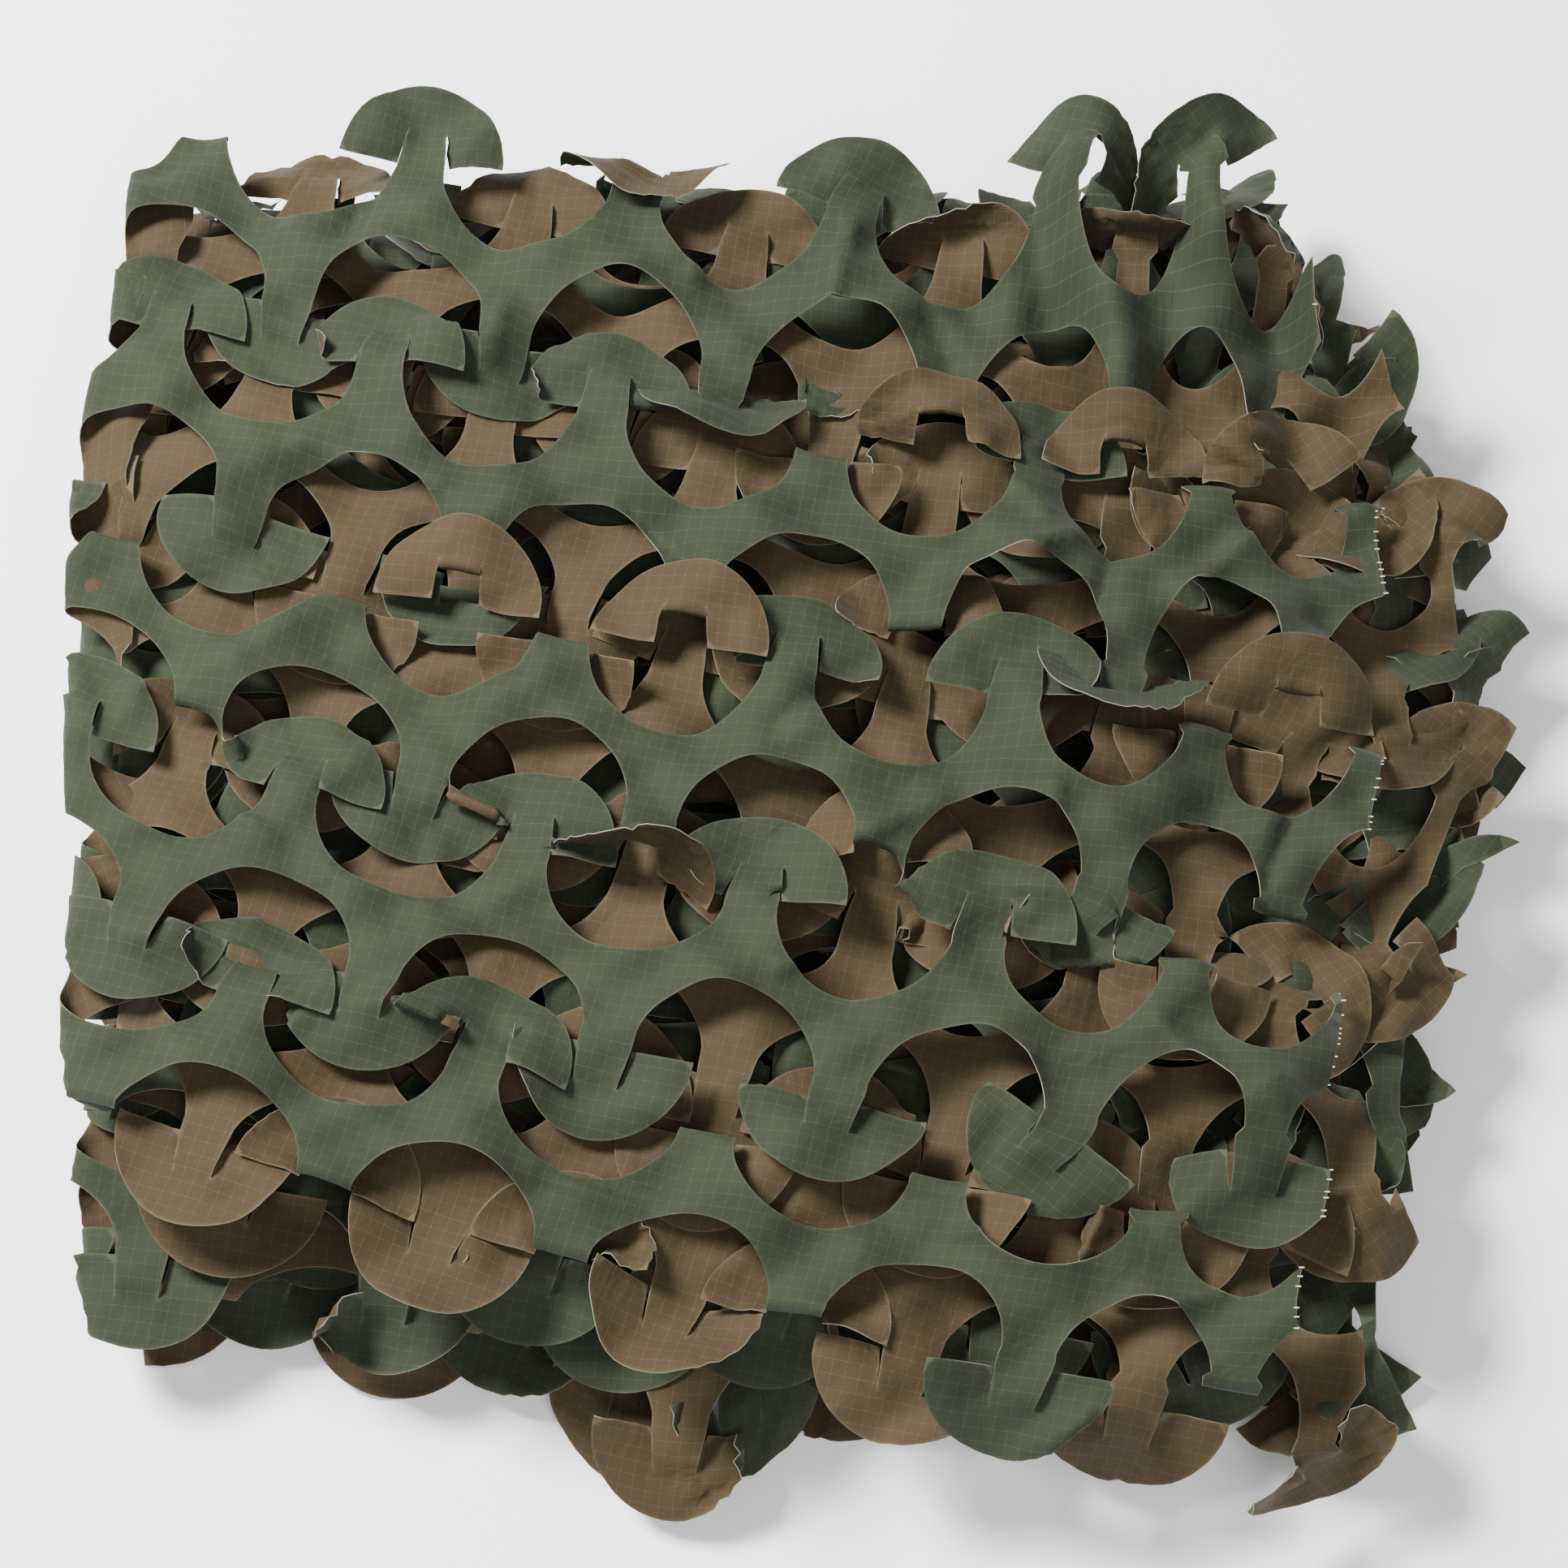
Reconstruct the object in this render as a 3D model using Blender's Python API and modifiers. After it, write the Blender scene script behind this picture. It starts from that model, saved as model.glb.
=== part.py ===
"""A folded camouflage net: one strip of die-cut cloth laid back and forth in nine layers.

Run with: blender --background --python part.py
Units are metres, +Z is up and -Y is the front. The origin is the middle of the footprint, on the floor.
"""

import math

import bmesh
import bpy
import numpy as np

# The cloth and how it is folded.
SHEET_THICKNESS = 0.002
LAYER_COUNT = 9
LAYER_PITCH = 0.0115
FOLD_BULGE = 0.0062          # how far a fold swings out past the ends of its two layers
STATIONS_PER_LAYER = 13      # grid lines across one layer, from its left end to its right end
STATIONS_PER_FOLD = 3
ROWS_DEEP = 11               # grid lines from the front edge to the back edge

# The side outline: one row for each level of depth, 0 at the front edge and 1 at the back edge.
# left: the fold line on the left. cut_end: the free end of the top layer. right: the folds on the right.
SIDE_OUTLINE = {
    "depth": (0.00, 0.12, 0.25, 0.38, 0.50, 0.62, 0.75, 0.88, 1.00),
    "left": (-0.247, -0.258, -0.256, -0.258, -0.264, -0.268, -0.272, -0.266, -0.259),
    "cut_end": (0.176, 0.186, 0.202, 0.212, 0.226, 0.230, 0.239, 0.236, 0.214),
    "right": (0.216, 0.222, 0.236, 0.252, 0.282, 0.280, 0.272, 0.246, 0.214),
}
# The front and back outline: one row for each level of width, 0 at the left and 1 at the right.
END_OUTLINE = {
    "width": (0.00, 0.14, 0.28, 0.42, 0.57, 0.71, 0.85, 1.00),
    "front": (-0.183, -0.186, -0.192, -0.196, -0.196, -0.200, -0.212, -0.206),
    "back": (0.276, 0.278, 0.266, 0.252, 0.250, 0.246, 0.238, 0.206),
}
# How far each layer, bottom first, lies off the shared outline.
LAYER_SLIP = {
    "left": (0.004, -0.003, -0.003, 0.006, 0.006, -0.002, -0.002, 0.000, 0.000),
    "right": (-0.014, -0.014, -0.004, -0.004, 0.003, 0.003, -0.002, -0.002, 0.000),
    "front": (-0.006, 0.004, -0.009, 0.003, -0.007, 0.005, -0.004, 0.006, 0.000),
    "back": (-0.006, 0.005, -0.010, 0.002, -0.008, 0.004, -0.012, -0.004, 0.000),
}
# Loose tabs that run past the outline: the middle, half width and reach of each, in metres.
FRONT_TAB = {"middle": -0.036, "half_width": 0.072, "reach": 0.048, "highest_layer": 3}
BACK_TAB = {"middle": -0.142, "half_width": 0.070, "reach": 0.036}

# The raised lip at the back right corner of the top layer.
LIP = {"start_y": 0.165, "end_y": 0.245, "left_x": 0.045, "right_x": 0.130, "height": 0.054, "drift": 0.030}

# The soft swells of the top layer. Lower layers take a share of them, down to none at the bottom.
SWELLS = (
    {"height": 0.0032, "turns_x": 1.3, "turns_y": 0.7, "phase": 0.4},
    {"height": 0.0022, "turns_x": -0.8, "turns_y": 1.9, "phase": 1.9},
    {"height": 0.0014, "turns_x": 2.9, "turns_y": 1.1, "phase": 3.1},
)
EDGE_DROOP = 0.10            # share of its height that a layer loses at the rim of the stack
DROOP_REACH = 0.16           # how far in from the rim the droop starts, as a share of width or depth

# The cut pattern on the top layer: openings in rows, tilted across the stack.
PATTERN_ORIGIN = (-0.098, -0.010)
COLUMN_STEP = (0.0436, -0.0090)
ROW_STEP = (-0.0136, -0.0870)
OPENING_SHIFT_Y = 0.025      # upward openings lie this far behind their row line, downward ones before it
OPENING_WIDTH = 0.054
OPENING_DEPTH = 0.038
OPENING_SIDES = 14
CUTTER_HEIGHT = 0.010
# One row of openings each, with its columns. Even columns open upward, odd ones downward.
OPENING_ROWS = (
    {"row": -3, "columns": (-1, 1, 3)},
    {"row": -2, "columns": range(-3, 7)},
    {"row": -1, "columns": range(-3, 7)},
    {"row": 0, "columns": range(-2, 7)},
    {"row": 1, "columns": range(-2, 7)},
    {"row": 2, "columns": (-2, 0)},
)

GREEN = (0.060, 0.088, 0.050, 1.0)
CLOTH_ROUGHNESS = 0.85


def eased(value, low, high):
    """0 below low, 1 above high, and a smooth step between."""
    share = np.clip((value - low) / (high - low), 0.0, 1.0)
    return share * share * (3.0 - 2.0 * share)


def bump(distance, half_width):
    """1 in the middle of a tab, falling to 0 at its sides."""
    return math.cos(0.5 * math.pi * min(1.0, abs(distance) / half_width)) ** 2


def layer_ends(layer, depth):
    """The left and right end of a layer at one depth."""
    left = np.interp(depth, SIDE_OUTLINE["depth"], SIDE_OUTLINE["left"]) + LAYER_SLIP["left"][layer]
    right_name = "cut_end" if layer == LAYER_COUNT - 1 else "right"
    right = np.interp(depth, SIDE_OUTLINE["depth"], SIDE_OUTLINE[right_name]) + LAYER_SLIP["right"][layer]
    return left, right


def layer_height(layer, x, y):
    """The height of a layer's middle surface: its level, the droop at the rim, the swells and the lip."""
    level = layer * LAYER_PITCH
    share = layer / (LAYER_COUNT - 1)
    from_side = min(x - SIDE_OUTLINE["left"][4], SIDE_OUTLINE["cut_end"][4] - x) / 0.5
    from_end = min(y - END_OUTLINE["front"][4], END_OUTLINE["back"][4] - y) / 0.45
    rim = (1.0 - eased(from_side, -0.05, DROOP_REACH)) + (1.0 - eased(from_end, -0.05, DROOP_REACH))
    height = level * (1.0 - EDGE_DROOP * min(1.0, rim))
    for swell in SWELLS:
        angle = 2.0 * math.pi * (swell["turns_x"] * x + swell["turns_y"] * y) / 0.5 + swell["phase"]
        height += share * swell["height"] * math.sin(angle)
    return SHEET_THICKNESS / 2.0 + height


def lip_rise(x, y):
    """How much of the lip there is at a place on the top layer, from 0 to 1."""
    return eased(y, LIP["start_y"], LIP["end_y"]) * eased(x, LIP["left_x"], LIP["right_x"])


def layer_point(layer, across, depth):
    """A place on a layer. across runs from 0 at the left end to 1 at the right, depth from front to back."""
    left, right = layer_ends(layer, depth)
    x = left + (right - left) * across
    front = np.interp(across, END_OUTLINE["width"], END_OUTLINE["front"]) + LAYER_SLIP["front"][layer]
    back = np.interp(across, END_OUTLINE["width"], END_OUTLINE["back"]) + LAYER_SLIP["back"][layer]
    if layer <= FRONT_TAB["highest_layer"]:
        front -= FRONT_TAB["reach"] * bump(x - FRONT_TAB["middle"], FRONT_TAB["half_width"])
    top = layer == LAYER_COUNT - 1
    if top:
        back += BACK_TAB["reach"] * bump(x - BACK_TAB["middle"], BACK_TAB["half_width"])
    y = front + (back - front) * depth
    z = layer_height(layer, x, y)
    if top:
        rise = lip_rise(x, y)
        z += LIP["height"] * rise
        y += LIP["drift"] * rise
    return x, y, z


def fold_point(lower, at_right, share, depth):
    """A place on the fold from layer lower to the one above it. share runs from 0 below to 1 above."""
    across = 1.0 if at_right else 0.0
    below = layer_point(lower, across, depth)
    above = layer_point(lower + 1, across, depth)
    rise = 0.5 - 0.5 * math.cos(math.pi * share)
    swing = math.sin(math.pi * share) * FOLD_BULGE * (1.0 if at_right else -1.0)
    return [b + (a - b) * rise + s for b, a, s in zip(below, above, (swing, 0.0, 0.0))]


def folded_points():
    """The middle surface as lines of points, one line across the cloth for each station along it."""
    depths = np.linspace(0.0, 1.0, ROWS_DEEP)
    lines = []
    for layer in range(LAYER_COUNT):
        runs_right = layer % 2 == 0
        stations = np.linspace(0.0, 1.0, STATIONS_PER_LAYER)
        if not runs_right:
            stations = stations[::-1]
        for across in stations:
            lines.append([layer_point(layer, across, depth) for depth in depths])
        if layer == LAYER_COUNT - 1:
            break
        for step in range(1, STATIONS_PER_FOLD + 1):
            share = step / (STATIONS_PER_FOLD + 1)
            lines.append([fold_point(layer, runs_right, share, depth) for depth in depths])
    return lines


def build_sheet(collection, material):
    """The folded sheet, bent from a flat grid and given its thickness."""
    lines = folded_points()
    mesh = bpy.data.meshes.new("net_cloth")
    grid = bmesh.new()
    bmesh.ops.create_grid(grid, x_segments=len(lines) - 1, y_segments=ROWS_DEEP - 1, size=1.0)
    for vertex in grid.verts:
        line = round((vertex.co.x + 1.0) / 2.0 * (len(lines) - 1))
        row = round((vertex.co.y + 1.0) / 2.0 * (ROWS_DEEP - 1))
        vertex.co = lines[line][row]
    bmesh.ops.recalc_face_normals(grid, faces=grid.faces)
    grid.to_mesh(mesh)
    grid.free()
    mesh.materials.append(material)
    sheet = bpy.data.objects.new("net_cloth", mesh)
    collection.objects.link(sheet)
    thickness = sheet.modifiers.new("thickness", "SOLIDIFY")
    thickness.thickness = SHEET_THICKNESS
    thickness.offset = 0.0
    return sheet


def opening_places():
    """The middle of each opening on the top layer."""
    for line in OPENING_ROWS:
        for column in line["columns"]:
            x = PATTERN_ORIGIN[0] + column * COLUMN_STEP[0] + line["row"] * ROW_STEP[0]
            y = PATTERN_ORIGIN[1] + column * COLUMN_STEP[1] + line["row"] * ROW_STEP[1]
            y += OPENING_SHIFT_Y if column % 2 == 0 else -OPENING_SHIFT_Y
            yield x, y


def build_cutters(collection):
    """One oval post for each opening, high enough to pass the top layer and no other."""
    mesh = bpy.data.meshes.new("opening_cutters")
    posts = bmesh.new()
    tilt = math.atan2(COLUMN_STEP[1], COLUMN_STEP[0])
    for x, y in opening_places():
        made = bmesh.ops.create_cone(
            posts, cap_ends=True, segments=OPENING_SIDES, radius1=0.5, radius2=0.5, depth=CUTTER_HEIGHT
        )
        z = layer_height(LAYER_COUNT - 1, x, y)
        bmesh.ops.scale(posts, vec=(OPENING_WIDTH, OPENING_DEPTH, 1.0), verts=made["verts"])
        cosine, sine = math.cos(tilt), math.sin(tilt)
        for vertex in made["verts"]:
            across, along = vertex.co.x, vertex.co.y
            vertex.co.x = x + across * cosine - along * sine
            vertex.co.y = y + across * sine + along * cosine
            vertex.co.z += z
    posts.to_mesh(mesh)
    posts.free()
    cutters = bpy.data.objects.new("opening_cutters", mesh)
    collection.objects.link(cutters)
    cutters.hide_render = True
    cutters.display_type = "WIRE"
    return cutters


def cloth_material():
    material = bpy.data.materials.new("net_green")
    material.use_nodes = True
    shader = material.node_tree.nodes["Principled BSDF"]
    shader.inputs["Base Color"].default_value = GREEN
    shader.inputs["Roughness"].default_value = CLOTH_ROUGHNESS
    shader.inputs["Metallic"].default_value = 0.0
    return material


def centre_on_floor(sheet, cutters):
    """Moves the sheet and its cutters so that the origin is the middle of the footprint, on the floor."""
    bpy.context.view_layer.update()
    evaluated = sheet.evaluated_get(bpy.context.evaluated_depsgraph_get())
    points = np.array([corner.co for corner in evaluated.data.vertices])
    low, high = points.min(axis=0), points.max(axis=0)
    for piece in (sheet, cutters):
        piece.location = (-(low[0] + high[0]) / 2.0, -(low[1] + high[1]) / 2.0, -low[2])


def main():
    for old in list(bpy.data.objects):
        bpy.data.objects.remove(old)
    net = bpy.data.collections.new("camouflage_net")
    tools = bpy.data.collections.new("cutters")
    bpy.context.scene.collection.children.link(net)
    bpy.context.scene.collection.children.link(tools)
    sheet = build_sheet(net, cloth_material())
    cutters = build_cutters(tools)
    openings = sheet.modifiers.new("openings", "BOOLEAN")
    openings.object = cutters
    openings.operation = "DIFFERENCE"
    openings.solver = "EXACT"
    centre_on_floor(sheet, cutters)


main()
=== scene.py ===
import math
import bpy
import numpy as np
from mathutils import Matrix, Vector
from mathutils.geometry import delaunay_2d_cdt


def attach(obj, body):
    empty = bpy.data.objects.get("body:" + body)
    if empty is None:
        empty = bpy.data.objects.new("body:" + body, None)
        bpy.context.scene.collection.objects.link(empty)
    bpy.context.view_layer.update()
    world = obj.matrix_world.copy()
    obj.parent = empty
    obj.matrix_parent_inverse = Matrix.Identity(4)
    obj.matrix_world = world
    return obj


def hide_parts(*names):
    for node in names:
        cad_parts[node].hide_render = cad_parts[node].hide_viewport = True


# Folded camouflage net: nine lengths of die-cut ripstop laid back and forth, green face out on the left

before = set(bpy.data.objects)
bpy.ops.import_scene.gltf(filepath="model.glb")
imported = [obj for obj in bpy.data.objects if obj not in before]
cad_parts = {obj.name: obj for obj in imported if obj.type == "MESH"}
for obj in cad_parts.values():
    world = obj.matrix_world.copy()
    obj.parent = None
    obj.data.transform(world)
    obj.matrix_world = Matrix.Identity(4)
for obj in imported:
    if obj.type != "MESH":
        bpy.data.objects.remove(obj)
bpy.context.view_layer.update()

# what a user would change about the cut pattern, in metres
cutPattern = {
    "halfStep": 0.0444,     # from one stem to the next along a row
    "rowGap": 0.0738,       # from one row line to the next
    "rowShift": 0.0058,     # how far each row lies along from the one behind it
    "capRadius": 0.0345,
    "slitDepth": 0.0150,    # how far the slits beside a stem run into its cap
    "stemTop": 0.0080,      # half width of the stem where the cap hinges
    "bendLength": 0.0100,   # length of stem that does the bending
}

# how the pattern lies on the stack
layDown = {
    "origin": (-0.1010, -0.0533),        # stem of row 0, column 0 on the top length
    "along": (0.954, -0.235),            # where a metre along a row goes: rows run down to the right
    "across": (0.208, 0.873),            # where a metre across the rows goes
    "pullApart": (-0.0039, -0.0207),     # each band is drawn this far from the band behind it
    "skew": (-0.00034, -0.00109),        # times column * row
    "splay": (-0.00052, 0.00308),        # times row * row
    "bow": (-0.00017, 0.00055),          # times column * column
    "middle": (-0.02, -0.03),            # a turned length turns about this
    "gather": 0.20, "gatherFrom": 0.110,
    "backGather": 0.16, "backFrom": 0.085, "backY": (0.060, 0.140),
    "drawY": (0.030, 0.130),             # where a length that is drawn forward starts to move
}

# soft waves in the webs: height in metres, turns per half metre along x and y, phase
ripples = (
    (0.0026, 5.3, 2.2, 0.3), (0.0020, -3.9, 6.1, 1.2), (0.0014, 9.4, -5.7, 2.0),
    (0.0009, 6.0, 13.0, 0.7), (0.0006, 17.0, 9.0, 0.2), (0.0006, -11.0, 19.0, 2.2),
)

# the folded stack, in metres
stack = {
    "count": 9,
    "pitch": 0.0115,                     # height from one length to the next
    "base": 0.0010,
    "least": 0.0006,                     # no cloth lies lower than this
    "shift": (-0.005751, -0.028953),     # middle of the stack in the frame
    "front": -0.196, "over": 0.446,      # where the outline below starts, and the depth it runs over
    "depth": (0.00, 0.12, 0.25, 0.38, 0.50, 0.62, 0.75, 0.88, 1.00),    # shares of that depth
    "left": (-0.247, -0.258, -0.256, -0.258, -0.264, -0.268, -0.272, -0.266, -0.259),
    "cutEnd": (0.176, 0.186, 0.202, 0.212, 0.226, 0.230, 0.228, 0.208, 0.200),    # right end of the top one
    "right": (0.216, 0.222, 0.236, 0.252, 0.276, 0.276, 0.268, 0.246, 0.214),     # right of the others
    "foldRadius": 0.0056,
    "tuck": 0.020, "tuckSlope": 0.06,    # how far cloth runs back in under a left fold, and its slope
    "swells": ((0.0032, 1.3, 0.7, 0.4), (0.0022, -0.8, 1.9, 1.9), (0.0014, 2.9, 1.1, 3.1)),
    "droop": 0.10, "droopReach": 0.16,   # share of the height lost at the rim, and how far in it starts
    "rimY": (-0.196, 0.250), "rimSpan": (0.5, 0.45),    # that reach is a share of these, along x and y
    "dip": 0.15, "dipFrom": -0.06, "dipTo": 0.09,    # lengths under the top one lie lower towards the right
    "dipEnd": (0.10, 0.17),              # except at the back, past these
}
waveSpan = 0.5    # swells and ripples are given in turns over this many metres
topLayer = stack["count"] - 1
noCap = 99        # in place of a row and column, for cloth that belongs to no cap


def put(name, data):
    # a new object at the origin
    made = bpy.data.objects.new(name, data)
    bpy.context.scene.collection.objects.link(made)
    return made


def eased(value, low, high):
    # 3k^2 - 2k^3 with k the share of the way from low to high
    k = np.clip((value - low) / (high - low), 0.0, 1.0)
    return k * k * (3.0 - 2.0 * k)


def stemHalf(t):
    # half width of a stem, falling in a straight line from the row line to the hinge
    foot = cutPattern["halfStep"] - cutPattern["capRadius"]
    share = np.clip(t / cutPattern["slitDepth"], 0.0, 1.0)
    return foot + (cutPattern["stemTop"] - foot) * share


def rowLine(row, column):
    # the point of the cloth where a stem crosses its row line
    u = cutPattern["halfStep"] * column + cutPattern["rowShift"] * row
    return u, -cutPattern["rowGap"] * row


def cutLines(spacing, rows, columns, joined):
    # arcs: (R cos a, R sin a); slits: (stemHalf(t), t); undersides: (s, 0) from one stem to the next
    lines = []
    radius = cutPattern["capRadius"]
    arcAngles = np.linspace(0.0, math.pi, int(math.pi * radius / spacing / 0.86) + 1)
    slitSteps = np.linspace(0.0, cutPattern["slitDepth"], int(cutPattern["slitDepth"] / spacing / 0.9) + 2)
    underSteps = np.linspace(stemHalf(0.0), radius, int((radius - stemHalf(0.0)) / spacing / 0.9) + 2)
    for row in rows:
        for column in columns:
            u, v = rowLine(row, column)
            up = 1.0 if column % 2 == 0 else -1.0
            lines.append(np.c_[u + radius * np.cos(arcAngles), v + up * radius * np.sin(arcAngles)])
            for side in (-1.0, 1.0):
                lines.append(np.c_[u + side * stemHalf(slitSteps), v + up * slitSteps])
            if (row, column) not in joined:
                lines.append(np.c_[u + underSteps, v + 0.0 * underSteps])
    return lines


def flatCloth(spacing, rows, columns, joined, seed):
    # a hexagonal grid of points with every cut line worked in, triangulated and opened along the cuts
    rng = np.random.default_rng(seed)
    lines = cutLines(spacing, rows, columns, joined)
    cutPoints = np.concatenate(lines)
    starts = np.cumsum([0] + [len(line) for line in lines])
    pairs = [(i, i + 1) for a, b in zip(starts[:-1], starts[1:]) for i in range(a, b - 1)]
    low, high = cutPoints.min(axis=0) - 0.01, cutPoints.max(axis=0) + 0.01
    gx, gy = np.meshgrid(np.arange(low[0], high[0], spacing), np.arange(low[1], high[1], spacing * 0.866))
    gx = gx + 0.5 * spacing * (np.arange(gx.shape[0]) % 2)[:, None]
    grid = np.c_[gx.ravel(), gy.ravel()] + rng.uniform(-0.10, 0.10, (gx.size, 2)) * spacing
    near = np.full(len(grid), 9.0)
    for part in np.array_split(np.arange(len(cutPoints)), max(1, len(cutPoints) // 400)):
        cut = cutPoints[part]
        reach = 3.0 * spacing
        box = np.all((grid > cut.min(axis=0) - reach) & (grid < cut.max(axis=0) + reach), axis=1)
        gap = np.hypot(grid[box, None, 0] - cut[None, :, 0], grid[box, None, 1] - cut[None, :, 1]).min(axis=1)
        near[box] = np.minimum(near[box], gap)
    grid = grid[near > 0.62 * spacing]
    points = np.concatenate([cutPoints, grid])
    made = delaunay_2d_cdt([Vector(p) for p in points.tolist()], pairs, [], 0, 1e-6)
    verts = np.array([tuple(p) for p in made[0]])
    edges = np.sort(np.array(made[1]), axis=1)
    isCut = np.array([len(origin) > 0 for origin in made[4]])
    faces = np.array(made[2])
    return openCuts(verts, faces, edges[isCut])


def samePairs(key):
    # the places of every two equal values that follow each other once sorted
    order = np.argsort(key, kind="stable")
    same = np.nonzero(key[order][1:] == key[order][:-1])[0]
    return order[same], order[same + 1]


def openCuts(verts, faces, cutEdges):
    # corners joined across uncut edges share a vertex: the lowest corner label spreads until nothing changes
    count = len(verts)
    corner = np.arange(faces.size).reshape(faces.shape)
    ends = np.stack([faces, np.roll(faces, -1, axis=1)], axis=2).reshape(-1, 2)
    cornerPair = np.stack([corner, np.roll(corner, -1, axis=1)], axis=2).reshape(-1, 2)
    turned = ends[:, 0] > ends[:, 1]
    ends[turned] = ends[turned][:, ::-1]
    cornerPair[turned] = cornerPair[turned][:, ::-1]
    key = ends[:, 0] * count + ends[:, 1]
    cutKey = cutEdges[:, 0] * count + cutEdges[:, 1]
    first, second = samePairs(key)
    keep = ~np.isin(key[first], cutKey)
    a = np.concatenate([cornerPair[first[keep], 0], cornerPair[first[keep], 1]])
    b = np.concatenate([cornerPair[second[keep], 0], cornerPair[second[keep], 1]])
    label = np.arange(faces.size)
    for _ in range(40):
        before = label.copy()
        np.minimum.at(label, a, label[b])
        np.minimum.at(label, b, label[a])
        if np.array_equal(before, label):
            break
    kept, newFaces = np.unique(label, return_inverse=True)
    return verts[faces.ravel()[kept]], newFaces.reshape(faces.shape)


def sortPieces(verts, faces):
    # each face belongs to a band of web, or to the cap (row, column) that it lies in
    centre = verts[faces].mean(axis=1)
    half, gap = cutPattern["halfStep"], cutPattern["rowGap"]
    radius, deep = cutPattern["capRadius"], cutPattern["slitDepth"]
    above = np.floor(-centre[:, 1] / gap).astype(int)
    band = above.copy()
    capRow = np.full(len(faces), noCap)
    capColumn = capRow.copy()
    for rowOffset, sign, odd, owner in ((0, -1.0, 1, -1), (1, 1.0, 0, 0)):
        row = above + rowOffset
        across = (centre[:, 0] - cutPattern["rowShift"] * row) / half
        column = (2 * np.round((across - odd) / 2.0) + odd).astype(int)
        s = centre[:, 0] - (half * column + cutPattern["rowShift"] * row)
        t = sign * (centre[:, 1] + gap * row)
        inside = (s * s + t * t < radius * radius) & (t > 0.0)
        stem = inside & (t < deep) & (np.abs(s) < stemHalf(t))
        head = inside & ~stem
        band[inside] = row[inside] + owner
        capRow[head] = row[head]
        capColumn[head] = column[head]
    return band, capRow, capColumn


def perVertex(values, faces, count, pick):
    # the largest or smallest face value round each vertex, as pick says
    out = np.full(count, -9999 if pick is np.maximum else 9999)
    pick.at(out, faces.ravel(), np.repeat(values, 3))
    return out


def faceEdges(faces):
    # the three edges of every triangle, first corners before second and third ones
    return np.concatenate([faces[:, [0, 1]], faces[:, [1, 2]], faces[:, [2, 0]]])


def layerHeight(layer, x, y):
    # level * (1 - droop * rim) + share * sum(height * sin(2 pi (ax + by) / span + phase)), as on the solid
    left, cut = stack["left"][4], stack["cutEnd"][4]
    x = x - stack["shift"][0]
    y = y - stack["shift"][1]
    share = layer / (stack["count"] - 1.0)
    front, back = stack["rimY"]
    fromSide = np.minimum(x - left, cut - x) / stack["rimSpan"][0]
    fromEnd = np.minimum(y - front, back - y) / stack["rimSpan"][1]
    reach = stack["droopReach"]
    rim = (1.0 - eased(fromSide, -0.05, reach)) + (1.0 - eased(fromEnd, -0.05, reach))
    height = layer * stack["pitch"] * (1.0 - stack["droop"] * np.minimum(1.0, rim))
    for tall, turnsX, turnsY, phase in stack["swells"]:
        height = height + share * tall * wave(x, y, turnsX, turnsY, phase)
    if layer < topLayer:
        dip = stack["dip"] * eased(x, stack["dipFrom"], stack["dipTo"]) * (1.0 - eased(y, *stack["dipEnd"]))
        height = height * (1.0 - dip)
    return stack["base"] + height


def wave(x, y, turnsX, turnsY, phase):
    # sin(2 pi (ax + by) / span + phase)
    return np.sin(2.0 * math.pi * (turnsX * x + turnsY * y) / waveSpan + phase)


def sideEnds(layer, y, slip):
    # where a length turns over on the left and on the right, read along the depth of the stack
    depth = (y - stack["shift"][1] - stack["front"]) / stack["over"]
    left = np.interp(depth, stack["depth"], stack["left"]) + stack["shift"][0] + slip[0]
    name = "cutEnd" if layer == topLayer else "right"
    right = np.interp(depth, stack["depth"], stack[name]) + stack["shift"][0] + slip[1]
    return left, right


# the raised back right corner of the top length, and the gathers that run up to it
lip = {
    "startY": 0.165, "endY": 0.245, "leftX": 0.045, "rightX": 0.130, "height": 0.027, "drift": 0.014,
    "second": 0.9,                                       # share of the lift that the length under it takes
    "edgeY": (0.19, 0.25), "edgeHeight": 0.006,          # the whole back edge rises a little
    "gatherY": (0.10, 0.17), "gatherX": (0.07, 0.11),
    "gatherHeight": 0.009, "gatherGap": 0.046, "gatherSlant": 16.0,
}

# the loose bunch at the front: how far lengths 2, 3 and 4 are drawn out
bunch = {"middle": -0.042, "width": 0.046, "reach": (0.036, 0.036, 0.022), "startY": (0.14, 0.23)}

# how the cloth hangs and ends at the rim, in metres
edges = {
    "frontY": -0.236, "backY": 0.228,    # past these lines cloth hangs lower
    "hang": 8.0,                         # drop = hang * over * over, for over metres past the line
    "draw": 2.0,                         # and it is drawn back by draw * over * over
    "topBack": 0.3,                      # share of the drop that the top length's back edge has
    "rightX": 0.225, "rightHang": 0.7,   # the same past this line on the right, by this share of hang
    "most": (0.07, 0.08),                # furthest over that counts, at the ends and at the right
    "backCut": 0.256, "frontCut": -0.292,    # straight ends of the lower lengths
    "oddShort": 0.012, "evenShort": 0.004,   # how far a length stops short of the left and right ends
}

# how strong the ripples and creases are
loosen = {
    "share": 0.3, "perLength": 0.13,          # share of the ripples in the lowest length, gain for each above
    "right": 1.2, "rightX": (0.10, 0.25),     # gain towards the right
    "phase": 1.7,                             # so that no two lengths wave alike
    "crease": 1.25,
}

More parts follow.
